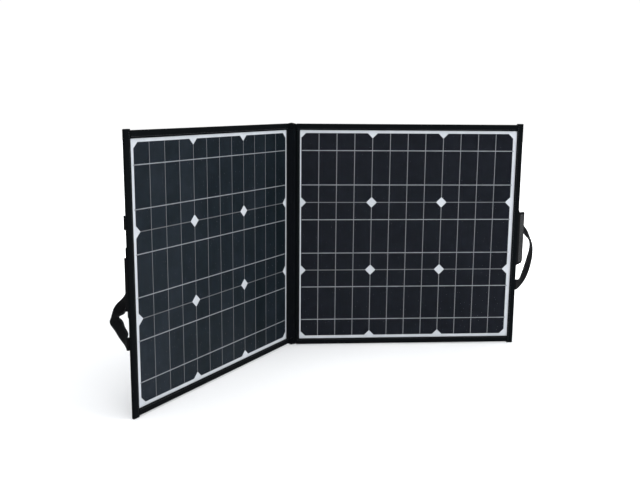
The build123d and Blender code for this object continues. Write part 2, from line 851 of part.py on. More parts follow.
def make_controller_button():
    """Round button with a wider collar inside the cover."""
    with BuildPart() as button:
        with BuildSketch(behind(14.8)):
            with Locations(button_centre):
                Circle(4.0)
        extrude(amount=-5.2)
        with BuildSketch(behind(15.4)):
            with Locations(button_centre):
                Circle(5.2)
        extrude(amount=-1.3)
        fillet(button.part.faces().sort_by(Axis.Y)[-1].edges(), 0.6)
    save("controller_button", button)


# ------------------------------------------------------------------ output cable and plug
# corners of the cable's run inside the pouch, as u and v
cable_route = (
    (370, -124), (370, -190), (448, -190),
    (448, -76), (408, -76), (408, -108),
)
cable_bend = 13
plug_taper, plug_grip = 12, 22  # lengths
plug_radius = 4.6


def downward(u, v):
    """Plane looking down, at the cable's depth."""
    origin = right.back.from_local_coords((u, v, -cable_depth))
    return Plane(origin=origin, x_dir=(1, 0, 0), z_dir=(0, 0, -1))


def make_output_cable():
    with BuildPart() as cable:
        with BuildLine(behind(cable_depth)) as cable_run:
            FilletPolyline(*cable_route, radius=cable_bend)
        with BuildSketch(downward(*cable_route[0])):
            Circle(cable_radius)
        sweep(path=cable_run.wires()[0])
    save("output_cable", cable)


def make_plug():
    """Power plug hanging from the cable's end: tapered body, then hollow barrel."""
    end_u, end_v = cable_route[-1]
    plug_plane = downward(end_u, end_v - 0.1)
    with BuildPart() as body:
        with BuildSketch(plug_plane):
            Circle(2.6)
        with BuildSketch(plug_plane.offset(plug_taper)):
            Circle(plug_radius)
        loft()
        with BuildSketch(plug_plane.offset(plug_taper)):
            Circle(plug_radius)
        extrude(amount=plug_grip)
        fillet(body.part.edges().sort_by(Axis.Z)[0], 1)
    save("plug_body", body)

    with BuildPart() as barrel:
        with BuildSketch(plug_plane.offset(plug_taper + plug_grip)):
            Circle(2.75)
            Circle(1.05, mode=Mode.SUBTRACT)
        extrude(amount=9.5)
    save("plug_barrel", barrel)


# ------------------------------------------------------------------ build
make_panel(right)
make_panel(left)
make_spine()

make_pouch()
make_zip_tape()
make_zip_teeth()
make_zip_slider()
make_zip_pull()

make_junction_box()
make_junction_lid()
make_bypass_diodes()
make_controller_base()
make_controller_board()
make_usb_ports()
make_controller_display()
make_controller_cover()
make_housing_screws()
make_controller_button()

make_output_cable()
make_plug()
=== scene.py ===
"""A folding solar charger, standing open: two fabric-bound panels joined by a narrow spine.

Z is up. The right panel runs along +X from the spine and its cells face -Y; the left panel
leaves the spine the other way. Handles and closure flaps hang on the panels' outer edges,
kickstands and a zipped pouch on their backs. The hard parts come from the CAD; the fabric,
webbing and thread are built here. Sizes are in mm unless a comment says otherwise.
"""
import json
import math
from itertools import accumulate

import bmesh
import bpy
import numpy as np
from mathutils import Matrix, Vector, noise

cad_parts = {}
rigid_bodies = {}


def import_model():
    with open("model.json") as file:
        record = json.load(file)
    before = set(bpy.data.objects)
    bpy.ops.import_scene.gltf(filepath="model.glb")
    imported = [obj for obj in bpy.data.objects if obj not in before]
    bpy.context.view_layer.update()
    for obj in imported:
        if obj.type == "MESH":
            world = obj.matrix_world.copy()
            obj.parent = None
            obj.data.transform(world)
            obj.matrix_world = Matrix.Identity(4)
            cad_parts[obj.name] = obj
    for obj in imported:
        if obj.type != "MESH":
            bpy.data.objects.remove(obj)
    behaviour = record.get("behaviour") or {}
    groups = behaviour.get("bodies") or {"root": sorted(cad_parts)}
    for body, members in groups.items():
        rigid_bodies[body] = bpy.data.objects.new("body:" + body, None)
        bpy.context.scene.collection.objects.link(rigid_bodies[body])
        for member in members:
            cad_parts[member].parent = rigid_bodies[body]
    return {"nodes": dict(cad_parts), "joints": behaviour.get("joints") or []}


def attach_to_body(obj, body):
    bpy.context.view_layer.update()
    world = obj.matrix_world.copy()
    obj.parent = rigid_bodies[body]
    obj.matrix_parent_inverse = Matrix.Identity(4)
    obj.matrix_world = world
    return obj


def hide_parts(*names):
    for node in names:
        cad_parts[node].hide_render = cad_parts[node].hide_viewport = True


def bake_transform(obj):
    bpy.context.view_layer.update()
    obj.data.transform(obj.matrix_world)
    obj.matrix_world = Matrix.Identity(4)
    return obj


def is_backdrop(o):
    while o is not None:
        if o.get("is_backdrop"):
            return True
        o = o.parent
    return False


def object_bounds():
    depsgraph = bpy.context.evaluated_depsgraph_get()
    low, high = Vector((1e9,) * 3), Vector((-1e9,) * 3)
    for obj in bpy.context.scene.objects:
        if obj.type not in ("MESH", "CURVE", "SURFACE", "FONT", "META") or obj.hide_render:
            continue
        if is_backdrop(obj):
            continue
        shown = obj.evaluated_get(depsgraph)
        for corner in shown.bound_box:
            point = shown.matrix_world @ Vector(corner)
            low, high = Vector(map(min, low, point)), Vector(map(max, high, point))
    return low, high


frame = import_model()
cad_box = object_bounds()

MM = 0.001  # metres in a millimetre
UP = Vector((0, 0, 1))
NODES = frame["nodes"]
JOINTS = {joint["name"]: joint for joint in frame["joints"]}
scene = bpy.context.scene

# ---------------------------------------------------------------- driving sizes
AXIS_Z = 1.5             # fold axis, forward of a sheet's back surface
EDGE_X, EDGE_Z = 524.5, -1.5  # line at the panel's outer edge that flap and handle hang from

FABRIC_X = (10.1, 508.4)  # rear fabric, from beside the fold to the side tape
FABRIC_HALF = 243.2      # half height of the rear fabric and the fold hem
TAPE_LIP = 243.4         # height of the top tape's lips
TAPE_DEPTH = 14.4        # from a border tape's lips to its fold
SIDE_LIP = 508.6
SIDE_HALF = 260          # half height of the side tape
SEAM_HEIGHT = 246.6      # thread along the top and bottom tapes

WEB_WIDTH = 25.0
TAIL_HEIGHTS = (("upper", 98.0), ("lower", -119.5))  # the handle's two ends
HANDLE_STEPS = 96

STRIP_PITCH = 40.73      # upright strips of cell
WAFER_X = 4 * STRIP_PITCH
WAFER_Y = 158.5
CELLS_X = 12.3           # inner edge of the cells
CELLS_Y = -1.5 * WAFER_Y  # lower edge of the three rows
CELLS_MIDDLE = CELLS_X + 1.5 * WAFER_X


# ---------------------------------------------------------------- frames of the panels and spine
class Sheet:
    """A panel or the spine: x outward from its axis, y up from the middle, z forward from
    the back surface."""

    def __init__(self, side, origin, rightward, sign=1, phase=0):
        self.side, self.panel = side, f"{side}_panel"
        self.origin = Vector(origin)
        self.out = rightward * sign
        self.front = Vector((rightward.y, -rightward.x, 0))
        self.phase = phase  # shifts the fabric's noise

    def at(self, x, y, z):
        return self.origin + self.out * (x * MM) + UP * (y * MM) + self.front * ((z - AXIS_Z) * MM)

    def toward(self, out, back, up):
        return self.out * out - self.front * back + UP * up

    def faces(self, front, back):
        """A front and a back height, each with the direction its surface looks."""
        return (front, self.front), (back, -self.front)


right_axis = Vector(JOINTS["spine_fold_right"]["pos_m"])
left_axis = Vector(JOINTS["spine_fold_left"]["pos_m"])
left_rightward = Vector(JOINTS["left_kickstand_fold"]["axis"]).normalized()
RIGHT = Sheet("right", right_axis, Vector((1, 0, 0)))
LEFT = Sheet("left", left_axis, left_rightward, sign=-1, phase=400)
SPINE = Sheet("spine", (right_axis + left_axis) / 2, (right_axis - left_axis).normalized())
PANELS = (RIGHT, LEFT)


# ---------------------------------------------------------------- shader helpers
def put(tree, socket, value):
    """Links a Value to an input, or sets the input to a plain number or colour."""
    if isinstance(value, Value):
        tree.links.new(value.socket, socket)
    else:
        socket.default_value = value


class Value:
    """An output socket that takes arithmetic; each operation adds a Math node."""

    def __init__(self, tree, socket):
        self.tree, self.socket = tree, socket

    def apply(self, operation, other=0.0, clamp=False, swapped=False):
        node = self.tree.nodes.new("ShaderNodeMath")
        node.operation = operation
        node.use_clamp = clamp
        terms = (other, self, 0.0) if swapped else (self, other, 0.0)
        for socket, term in zip(node.inputs, terms):
            put(self.tree, socket, term)
        return Value(self.tree, node.outputs[0])

    def __add__(self, other):
        return self.apply("ADD", other)

    def __radd__(self, other):
        return self.apply("ADD", other, swapped=True)

    def __sub__(self, other):
        return self.apply("SUBTRACT", other)

    def __rsub__(self, other):
        return self.apply("SUBTRACT", other, swapped=True)

    def __mul__(self, other):
        return self.apply("MULTIPLY", other)

    def __truediv__(self, other):
        return self.apply("DIVIDE", other)

    def __mod__(self, other):
        return self.apply("MODULO", other)

    def __pow__(self, other):
        return self.apply("POWER", other)

    def __gt__(self, other):
        return self.apply("GREATER_THAN", other)

    def __lt__(self, other):
        return self.apply("LESS_THAN", other)

    def __abs__(self):
        return self.apply("ABSOLUTE")

    def floor(self):
        return self.apply("FLOOR")

    def waves(self, rate):
        """Rounded ridges, one for each pi of self times rate."""
        return abs((self * rate).apply("SINE"))

    def to_lines(self, start, pitch):
        """Distance in metres to the nearest of a row of lines given in mm."""
        part = ((self - start * MM) / (pitch * MM) + 0.5).apply("FRACT") - 0.5
        return abs(part) * (pitch * MM)


class Shader:
    """Builds one material; keyword names are the nodes' input names."""

    def __init__(self, name):
        self.material = bpy.data.materials.new(name)
        self.material.use_nodes = True
        self.tree = self.material.node_tree
        self.tree.nodes.clear()
        self.output = self.add("OutputMaterial")

    def add(self, kind, **inputs):
        node = self.tree.nodes.new("ShaderNode" + kind)
        for name, value in inputs.items():
            put(self.tree, node.inputs[name.replace("_", " ")], value)
        return node

    def out(self, node, key=0):
        return Value(self.tree, node.outputs[key])

    def coords(self, kind="Object", scale=(1, 1, 1)):
        source = self.out(self.add("TexCoord"), kind)
        return self.out(self.add("Mapping", Vector=source, Scale=scale))

    def split(self, vector):
        node = self.add("SeparateXYZ", Vector=vector)
        return [self.out(node, i) for i in range(3)]

    def noise(self, vector, scale, detail=3.0, rough=0.5):
        node = self.add("TexNoise", Vector=vector, Scale=scale, Detail=detail, Roughness=rough)
        return self.out(node, "Fac")

    def mix(self, factor, first, second, blend="MIX"):
        node = self.add("Mix")
        node.data_type, node.blend_type = "RGBA", blend
        for index, value in ((0, factor), (6, first), (7, second)):
            put(self.tree, node.inputs[index], value)
        return self.out(node, 2)

    def ramp(self, factor, *stops):
        """Two stops, each (position, colour)."""
        node = self.add("ValToRGB", Fac=factor)
        for element, (position, colour) in zip(node.color_ramp.elements, stops):
            element.position, element.color = position, colour
        return self.out(node)

    def shades(self, factor, base, *stops):
        """Two stops of the base colour, each (position, brightness)."""
        return self.ramp(factor, *((position, tuple(min(1, c * bright) for c in base) + (1,))
                                   for position, bright in stops))

    def bump(self, height, strength, distance, **normal):
        """distance is in metres."""
        return self.out(self.add("Bump", Strength=strength, Distance=distance,
                                 Height=height, **normal))

    def finish(self, **inputs):
        node = self.add("BsdfPrincipled", **inputs)
        self.tree.links.new(node.outputs[0], self.output.inputs[0])
        return self.material

    def on_sheet(self, sheet):
        """Place on a sheet, in metres: outward from the fold and up from the middle."""
        place = self.out(self.add("TexCoord"), "Object")
        dot = self.add("VectorMath")
        dot.operation = "DOT_PRODUCT"
        put(self.tree, dot.inputs[0], place)
        dot.inputs[1].default_value = tuple(sheet.out)
        return (self.out(dot, "Value") - sheet.origin.dot(sheet.out),
                self.split(place)[2] - sheet.origin.z)


# ---------------------------------------------------------------- materials
def woven(name, base, pitch, depth, rough, variation, sheen=0.001, specular=0.03):
    """Plain weave: over-and-under threads at the given pitch in mm; depth is bump strength."""
    shader = Shader(name)
    place = shader.coords("UV")
    x, y, _ = shader.split(place)
    rate = 1.0 / (pitch * MM)
    # threads take turns on top, as in a checkerboard
    parity = abs((x * rate).floor() + (y * rate).floor()) % 2.0
    thread = x.waves(rate * math.pi) * parity + y.waves(rate * math.pi) * (1.0 - parity)
    broad = shader.noise(place, scale=35.0, detail=4.0, rough=0.6)
    fine = shader.noise(place, scale=900.0, detail=2.0, rough=0.6)
    crumple = shader.noise(place, scale=60.0, rough=0.55)
    creased = shader.bump(crumple, strength=0.35, distance=0.0012)
    return shader.finish(
        Base_Color=shader.shades(thread * 0.35 + broad * 0.5 + fine * 0.25, base,
                                 (0.2, 1 - variation), (0.85, 1 + variation * 1.3)),
        Roughness=(rough - 0.08) + fine * 0.16,
        Normal=shader.bump(thread, strength=depth, distance=pitch * MM * 0.25, Normal=creased),
        Sheen_Weight=sheen, Sheen_Roughness=0.5, Coat_Roughness=0.45,
        Specular_IOR_Level=specular)


def webbing(name, base, rib=1.25, rows=0.9):
    """Ribbed webbing: zigzag ribs across at pitch rib and columns along at pitch rows, mm."""
    shader = Shader(name)
    place = shader.coords("UV")
    x, y, _ = shader.split(place)
    zigzag = (x * (math.tau / (2 * rows * MM))).apply("SINE") * (0.22 * rib * MM)
    ribs = (y + zigzag).waves(math.pi / (rib * MM))
    height = ribs * 0.65 + x.waves(math.pi / (rows * MM)) * 0.35
    fuzz = shader.noise(place, scale=1400.0, rough=0.65)
    broad = shader.noise(place, scale=45.0, rough=0.6)
    return shader.finish(
        Base_Color=shader.shades(height * 0.5 + (fuzz * 0.25 + broad * 0.3), base,
                                 (0.25, 0.5), (0.8, 1.6)),
        Roughness=(0.68 - 0.1) + fuzz * 0.2,
        Normal=shader.bump(height, strength=0.8, distance=0.0003),
        Sheen_Weight=0.002, Sheen_Roughness=0.5, Specular_IOR_Level=0.04)


def moulded(name, base, rough=0.45, grain=2500.0, bump=0.12):
    shader = Shader(name)
    place = shader.coords()
    fine = shader.noise(place, scale=grain, rough=0.6)
    broad = shader.noise(place, scale=60.0)
    return shader.finish(
        Base_Color=shader.shades(broad, base, (0.3, 0.85), (0.7, 1.15)),
        Roughness=(rough - 0.06) + fine * 0.14,
        Normal=shader.bump(fine, strength=bump, distance=0.0002))


def rubber(name, base, rough):
    return moulded(name, base, rough=rough, grain=1800.0, bump=0.2)


def brushed(name, base, rough, axis, pitch=0.12):
    """Metal with brush lines along one axis; pitch in mm."""
    shader = Shader(name)
    scale = [1, 1, 1]
    scale[axis] = 0.02
    lines = shader.noise(shader.coords(scale=scale), scale=1.0 / (pitch * MM), detail=2.0)
    broad = shader.noise(shader.coords(), scale=90.0, detail=2.0)
    return shader.finish(
        Base_Color=shader.shades(broad, base, (0.3, 0.9), (0.7, 1.08)),
        Metallic=1.0,
        Roughness=(rough - 0.08) + lines * 0.18,
        Normal=shader.bump(lines, strength=0.15, distance=0.0001))


def sewing_thread(name, base):
    shader = Shader(name)
    place = shader.coords()
    twist = shader.noise(place, scale=5200.0, detail=2.0)
    broad = shader.noise(place, scale=70.0, detail=2.0)
    return shader.finish(
        Base_Color=shader.shades(twist * 0.5 + broad * 0.5, base, (0.3, 0.6), (0.75, 1.5)),
        Roughness=0.55,
        Normal=shader.bump(twist, strength=0.4, distance=0.0001),
        Sheen_Weight=0.2)


def hook_tape():
    """Rows of tiny hooks that catch the light."""
    shader = Shader("hook_tape_pile")
    place = shader.coords("UV")
    x, y, _ = shader.split(place)
    column_pitch, row_pitch = 0.0013, 0.0011  # metres
    dots = x.waves(math.pi / column_pitch) * y.waves(math.pi / row_pitch)
    fuzz = shader.noise(place, scale=1700.0, detail=4.0, rough=0.7)
    broad = shader.noise(place, scale=60.0)
    return shader.finish(
        Base_Color=shader.ramp(dots * 0.45 + (fuzz * 0.35 + broad * 0.25),
                               (0.2, (0.004, 0.0042, 0.0046, 1)),
                               (0.85, (0.020, 0.0205, 0.022, 1))),
        Roughness=0.55,
        Normal=shader.bump(dots + fuzz * 0.4, strength=0.9, distance=0.0006),
        Sheen_Weight=0.04, Specular_IOR_Level=0.15)


def solar_cells(sheet, dark, light, line, painted_light_slope):
    """Cells: a shade for each strip, fine upright lines, a cloudy tone. line is the lines'
    brightness; the last argument is the change per metre outward of a painted gradient:
    painted shade near the fold, painted reflection further out."""
    shader = Shader(f"solar_cells_{sheet.side}")
    x, y = shader.on_sheet(sheet)
    strip = ((x - CELLS_X * MM) / (STRIP_PITCH * MM)).floor()
    row = ((y + -CELLS_Y * MM) / (WAFER_Y * MM)).floor()
    strip_and_row = shader.out(shader.add("CombineXYZ", X=strip, Y=row))
    random = shader.add("TexWhiteNoise", Vector=strip_and_row)
    random.noise_dimensions = "2D"
    place = shader.out(shader.add("CombineXYZ", X=x, Y=y))
    cloud = shader.noise(place, scale=16.0, rough=0.55)
    patch = shader.noise(place, scale=52.0, rough=0.55)
    fingers = x.waves(math.pi / (1.62 * MM)) ** 12.0
    # the last term is painted light: painted shade near the fold, painted reflection further out
    shade = shader.out(random, "Value") * 0.30 + cloud * 0.55 + (x - 0.26) * painted_light_slope
    film = shader.ramp(shade, (0.08, dark + (1,)), (0.85, light + (1,)))
    grain = shader.ramp(patch, (0.3, (0.80, 0.80, 0.80 * 1.02, 1.0)),
                        (0.72, (1.22, 1.22, 1.22 * 1.06, 1.0)))
    film = shader.mix(0.7, film, grain, blend="MULTIPLY")
    return shader.finish(
        Base_Color=shader.mix(fingers * 0.10, film, (line, line * 1.03, line * 1.08, 1)),
        Roughness=0.36 + patch * 0.14,
        Normal=shader.bump(fingers, strength=0.06, distance=0.00004),
        Specular_IOR_Level=0.05)


def backsheet(sheet, level_gap_grey_and_shade, upright_gap_grey_and_shade):
    """White film. The gaps between cells are greyer than the margins and diamonds: partly the
    encapsulant's own grey, partly painted shade between the cells.
    """
    shader = Shader(f"white_backsheet_{sheet.side}")
    place = shader.coords()
    broad = shader.noise(place, scale=22.0, detail=4.0, rough=0.6)
    fine = shader.noise(place, scale=1100.0, rough=0.6)
    x, y = shader.on_sheet(sheet)
    # diamonds lie where the wafers' cut corners meet
    from_diamond = x.to_lines(CELLS_X, WAFER_X) + y.to_lines(CELLS_Y, WAFER_Y)
    in_gap = from_diamond > 11.9 * MM
    inside = abs(x - CELLS_MIDDLE * MM) < 243.7 * MM
    inside = inside * (abs(y) < 236.9 * MM)
    upright = x.to_lines(CELLS_X, STRIP_PITCH) < 1.2 * MM
    # the gap greys are partly painted shade between the cells, partly the encapsulant's own grey
    gap_greys_and_shade = [(tone, tone * 1.04, tone * 1.1, 1) for tone in (level_gap_grey_and_shade, upright_gap_grey_and_shade)]
    white = shader.ramp(broad, (0.25, (0.54, 0.565, 0.60, 1)), (0.75, (0.66, 0.685, 0.715, 1)))
    return shader.finish(
        Base_Color=shader.mix(in_gap * inside, white, shader.mix(upright, *gap_greys_and_shade)),
        Roughness=0.42 + fine * 0.12,
        Normal=shader.bump(fine, strength=0.08, distance=0.0002),
        Specular_IOR_Level=0.15)


def cell_ribbon():
    shader = Shader("tinned_copper_ribbon")
    place = shader.coords()
    fine = shader.noise(place, scale=900.0, rough=0.6)
    broad = shader.noise(place, scale=60.0)
    return shader.finish(
        Base_Color=shader.ramp(broad, (0.25, (0.22, 0.235, 0.25, 1)),
                               (0.75, (0.32, 0.335, 0.355, 1))),
        Metallic=0.25,
        Roughness=0.34 + fine * 0.2,
        Normal=shader.bump(fine, strength=0.15, distance=0.0001))


def clear_film():
    """Almost transparent, with a soft textured gloss."""
    shader = Shader("clear_front_film")
    place = shader.coords()
    texture = shader.noise(place, scale=420.0, rough=0.6)
    broad = shader.noise(place, scale=14.0, rough=0.55)
    return shader.finish(
        Base_Color=(0.020, 0.024, 0.030, 1),
        Roughness=0.30 + texture * 0.2,
        Normal=shader.bump(broad, strength=0.05, distance=0.0006),
        Specular_IOR_Level=0.2,
        Alpha=0.001 + broad * 0.003)


def glass_fibre():
    """Two sets of stretched fibres crossing."""
    shader = Shader("glass_fibre_board")
    fibres = [shader.noise(shader.coords(scale=stretch), scale=700.0, detail=2.0)
              for stretch in ((1, 1, 0.15), (0.15, 0.15, 1))]
    weave = (fibres[0] + fibres[1]) * 0.5
    return shader.finish(
        Base_Color=shader.ramp(weave, (0.35, (0.36, 0.38, 0.33, 1)),
                               (0.65, (0.52, 0.54, 0.48, 1))),
        Roughness=0.5,
        Normal=shader.bump(weave, strength=0.3, distance=0.0003))


def circuit_board():
    shader = Shader("circuit_board_mask")
    place = shader.coords()
    wander = shader.noise(place, scale=55.0, detail=0.0, rough=0.0)
    track_pitch = 0.0024  # metres
    tracks = (shader.split(place)[0] + wander * 0.02).waves(math.pi / track_pitch) > 0.8
    return shader.finish(
        Base_Color=shader.mix(tracks, (0.010, 0.085, 0.035, 1), (0.02, 0.15, 0.06, 1)),
        Roughness=0.3 + shader.noise(place, scale=800.0) * 0.1,
        Normal=shader.bump(tracks, strength=0.3, distance=0.0001))


def display():
    shader = Shader("liquid_crystal_display")
    place = shader.coords()
    x, _, z = shader.split(place)
    rate = math.pi / 0.0006  # one dot each 0.6 mm
    dots = (x.waves(rate) > 0.16) * (z.waves(rate) > 0.16)
    return shader.finish(
        Base_Color=shader.mix(dots * 0.4, (0.18, 0.22, 0.15, 1), (0.28, 0.34, 0.22, 1)),
        Roughness=0.1 + shader.noise(place, scale=300.0) * 0.06,
        Coat_Weight=0.5)


BORDER = woven("border_tape_weave", (0.0029, 0.0037, 0.0044), pitch=0.42, depth=0.35,
               rough=0.62, variation=0.38, sheen=0.0, specular=0.02)
SPINE_FABRIC = woven("spine_fabric_weave", (0.0036, 0.0046, 0.0060), pitch=0.55, depth=0.5,
                     rough=0.68, variation=0.34)
CASE = woven("case_polyester_weave", (0.0046, 0.0048, 0.0055), pitch=0.62, depth=0.6,
             rough=0.72, variation=0.30)
WEB = webbing("handle_webbing", (0.0036, 0.0036, 0.0041))
WEB_PATCH = webbing("webbing_patch", (0.0055, 0.0055, 0.0062), rib=1.1)
ZIP_TAPE = webbing("zip_tape_weave", (0.010, 0.010, 0.011), rib=0.7, rows=0.5)
CORD = webbing("piping_cord", (0.010, 0.011, 0.012), rib=0.8, rows=0.6)
THREAD = sewing_thread("black_thread", (0.022, 0.024, 0.026))
THREAD_PALE = sewing_thread("grey_thread", (0.10, 0.11, 0.12))
HOOK = hook_tape()
# Each panel's cells carry a painted gradient outward, painted shade near the fold and painted
# reflection further out, strongest on the left panel.
CELLS = {
    "right": solar_cells(RIGHT, dark=(0.0058, 0.0072, 0.0106), light=(0.0094, 0.0110, 0.0154),
                         line=0.032, painted_light_slope=0.15),
    "left": solar_cells(LEFT, dark=(0.0036, 0.0070, 0.0097), light=(0.0158, 0.0215, 0.0278),
                        line=0.044, painted_light_slope=1.1),
}
# Gap greys: partly painted shade between the cells, darker on the left panel.
BACKSHEET = {
    "right": backsheet(RIGHT, level_gap_grey_and_shade=0.185, upright_gap_grey_and_shade=0.235),
    "left": backsheet(LEFT, level_gap_grey_and_shade=0.140, upright_gap_grey_and_shade=0.190),
}
RIBBON = cell_ribbon()
FILM = clear_film()
BOARD = glass_fibre()
BLACK_PLASTIC = moulded("black_moulded_plastic", (0.018, 0.018, 0.019), rough=0.42)
GRAINED_PLASTIC = moulded("controller_grained_plastic", (0.030, 0.031, 0.034), rough=0.5,
                          grain=3200.0, bump=0.3)
CABLE = rubber("cable_jacket", (0.012, 0.012, 0.013), rough=0.45)
DARK_METAL = moulded("black_enamelled_zinc", (0.020, 0.020, 0.022), rough=0.26,
                     grain=1200.0, bump=0.06)
ZIP_TEETH = moulded("zip_teeth_polyester", (0.016, 0.016, 0.017), rough=0.35, grain=2600.0)
STEEL = brushed("plated_steel", (0.62, 0.62, 0.60), rough=0.3, axis=0)
NICKEL = brushed("nickel_plate", (0.70, 0.68, 0.62), rough=0.2, axis=2, pitch=0.2)
CIRCUIT = circuit_board()
DISPLAY = display()
BUTTON = rubber("red_rubber_button", (0.30, 0.035, 0.025), rough=0.5)


def paint(node, material):
    """Gives a CAD piece its material, in every slot."""
    slots = NODES[node].data.materials
    if not slots:
        slots.append(material)
    for i in range(len(slots)):
        slots[i] = material


for sheet in PANELS:
    for part, material in (
            ("stiffener_board", BOARD), ("kickstand_board", BOARD),
            ("terminal_block", BLACK_PLASTIC), ("panel_lead", CABLE),
            ("backsheet", BACKSHEET[sheet.side]), ("solar_cells", CELLS[sheet.side]),
            ("cell_ribbons", RIBBON), ("front_film", FILM)):
        paint(f"{sheet.side}_{part}", material)
for node, material in (
        ("spine_core", BOARD), ("spine_lead", CABLE), ("zip_teeth", ZIP_TEETH),
        ("zip_slider", DARK_METAL), ("zip_pull", DARK_METAL), ("junction_box", BLACK_PLASTIC),
        ("junction_lid", BLACK_PLASTIC), ("housing_screws", STEEL),
        ("bypass_diodes", BLACK_PLASTIC), ("controller_base", GRAINED_PLASTIC),
        ("controller_cover", GRAINED_PLASTIC), ("controller_board", CIRCUIT),
        ("usb_ports", STEEL), ("controller_display", DISPLAY), ("controller_button", BUTTON),
        ("output_cable", CABLE), ("plug_body", CABLE), ("plug_barrel", NICKEL)):
    paint(node, material)


# ---------------------------------------------------------------- objects
def add_object(name, mesh, material):
    obj = bpy.data.objects.new(name, mesh)
    scene.collection.objects.link(obj)
    mesh.materials.append(material)
    return obj


def face_outward(mesh, add_faces=None):
    """Makes the normals agree, after adding any faces."""
    shell = bmesh.new()
    shell.from_mesh(mesh)
    if add_faces:
        add_faces(shell)
    bmesh.ops.recalc_face_normals(shell, faces=shell.faces)
    shell.to_mesh(mesh)
    shell.free()


def mesh_object(name, verts, faces, uvs, material, sharp=50):
    """uvs holds a list of corner pairs in metres for each face; sharp is in degrees."""
    mesh = bpy.data.meshes.new(name)
    mesh.from_pydata([tuple(v) for v in verts], [], faces)
    layer = mesh.uv_layers.new(name="UVMap")
    corners = np.array([corner for face in uvs for corner in face], dtype=np.float32)
    layer.data.foreach_set("uv", corners.ravel())
    face_outward(mesh)
    mesh.polygons.foreach_set("use_smooth", [True] * len(mesh.polygons))
    mesh.update()
    if sharp:
        mesh.set_sharp_from_angle(angle=math.radians(sharp))
    return add_object(name, mesh, material)


def settle(obj, sharp=None):
    """Replaces the object's mesh with its modifiers' result."""
    bpy.context.view_layer.update()
    graph = bpy.context.evaluated_depsgraph_get()
    result = bpy.data.meshes.new_from_object(obj.evaluated_get(graph), depsgraph=graph,
                                             preserve_all_data_layers=True)
    old = obj.data
    obj.modifiers.clear()
    obj.data = result
    bpy.data.meshes.remove(old)
    result.polygons.foreach_set("use_smooth", [True] * len(result.polygons))
    if sharp:
        result.set_sharp_from_angle(angle=math.radians(sharp))


def thicken(obj, thickness):
    obj.modifiers.new("wall", "SOLIDIFY").thickness = thickness * MM
    settle(obj, sharp=50)


def attach(obj, body, slot, *nodes):
    """Fixes a piece to a body, in place of the CAD nodes it stands for."""
    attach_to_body(obj, body)
    if nodes:
        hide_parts(*nodes)


def bridge(obj, body, other, start, end):
    """Bakes the piece's transform into its mesh."""
    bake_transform(obj)


# ---------------------------------------------------------------- geometry helpers
def lump(x, y, z, scale):
    """Smooth noise, about -1 to 1."""
    return noise.noise(Vector((x, y, z)) / scale)


def dome(part):
    """Height of a quarter circle, from 0 at its rim to 1 where part reaches 1."""
    return math.sqrt(max(0.0, 1 - (1 - min(1.0, part)) ** 2))


def gap(a, b):
    return math.hypot(a[0] - b[0], a[1] - b[1])


def spaced(start, end, step):
    count = max(1, round((end - start) / step))
    return [start + (end - start) * i / count for i in range(count + 1)]


def box_uv(x0, x1, y0, y1):
    return [(x0, y0), (x1, y0), (x1, y1), (x0, y1)]


def travelled(points, unit=1.0):
    """Distance along a path to each of its points."""
    return [0.0, *accumulate((b - a).length / unit for a, b in zip(points, points[1:]))]


def heading(points, k, closed=False):
    if closed:
        before, after = k - 1, (k + 1) % len(points)
    else:
        before, after = max(k - 1, 0), min(k + 1, len(points) - 1)
    return (points[after] - points[before]).normalized()


def outline_normal(points, k):
    """Outward normal of a flat closed outline that runs counterclockwise in x and y."""
    a, b = points[k - 1], points[(k + 1) % len(points)]
    along = Vector((b[0] - a[0], b[1] - a[1], 0)).normalized()
    return Vector((along.y, -along.x, 0))


def spline(points, count):
    """Natural cubic through the points by chord length, at evenly spaced parameters."""
    places = np.array([tuple(p) for p in points], dtype=float)
    chords = np.linalg.norm(np.diff(places, axis=0), axis=1)
    knots = np.concatenate([[0], np.cumsum(chords)])
    size = len(places)
    span = np.diff(knots)
    system = np.zeros((size, size))
    bends = np.zeros((size, places.shape[1]))
    system[0, 0] = system[-1, -1] = 1
    for i in range(1, size - 1):
        system[i, i - 1:i + 2] = span[i - 1], 2 * (span[i - 1] + span[i]), span[i]
        bends[i] = 6 * ((places[i + 1] - places[i]) / span[i]
                        - (places[i] - places[i - 1]) / span[i - 1])
    curve = np.linalg.solve(system, bends)
    result = []
    for t in np.linspace(0, knots[-1], count):
        i = min(max(np.searchsorted(knots, t, side="right") - 1, 0), size - 2)
        a, b = (knots[i + 1] - t) / span[i], (t - knots[i]) / span[i]
        bend = (a**3 - a) * curve[i] + (b**3 - b) * curve[i + 1]
        result.append(Vector(a * places[i] + b * places[i + 1] + bend * span[i] ** 2 / 6))
    return result


FINE = (0.0, 0.25, 0.7, 1.3, 2.0, 2.8, 3.6, 4.6)  # grid places in from an edge


def edge_list(start, end, step, fine=FINE, extra=()):
    """Grid places from start to end, close together near both ends."""
    ends = [f for f in fine if f < (end - start) / 2 - 0.1]
    first, last = start + ends[-1], end - ends[-1]
    count = max(1, round((last - first) / step))
    middle = [first + (last - first) * i / count for i in range(1, count)]
    places = [start + f for f in ends] + middle + [end - f for f in reversed(ends)]
    keep = [p for p in places
            if all(abs(p - e) > step * 0.3 or p in (start, end) for e in extra)]
    return sorted(set(keep) | set(extra))


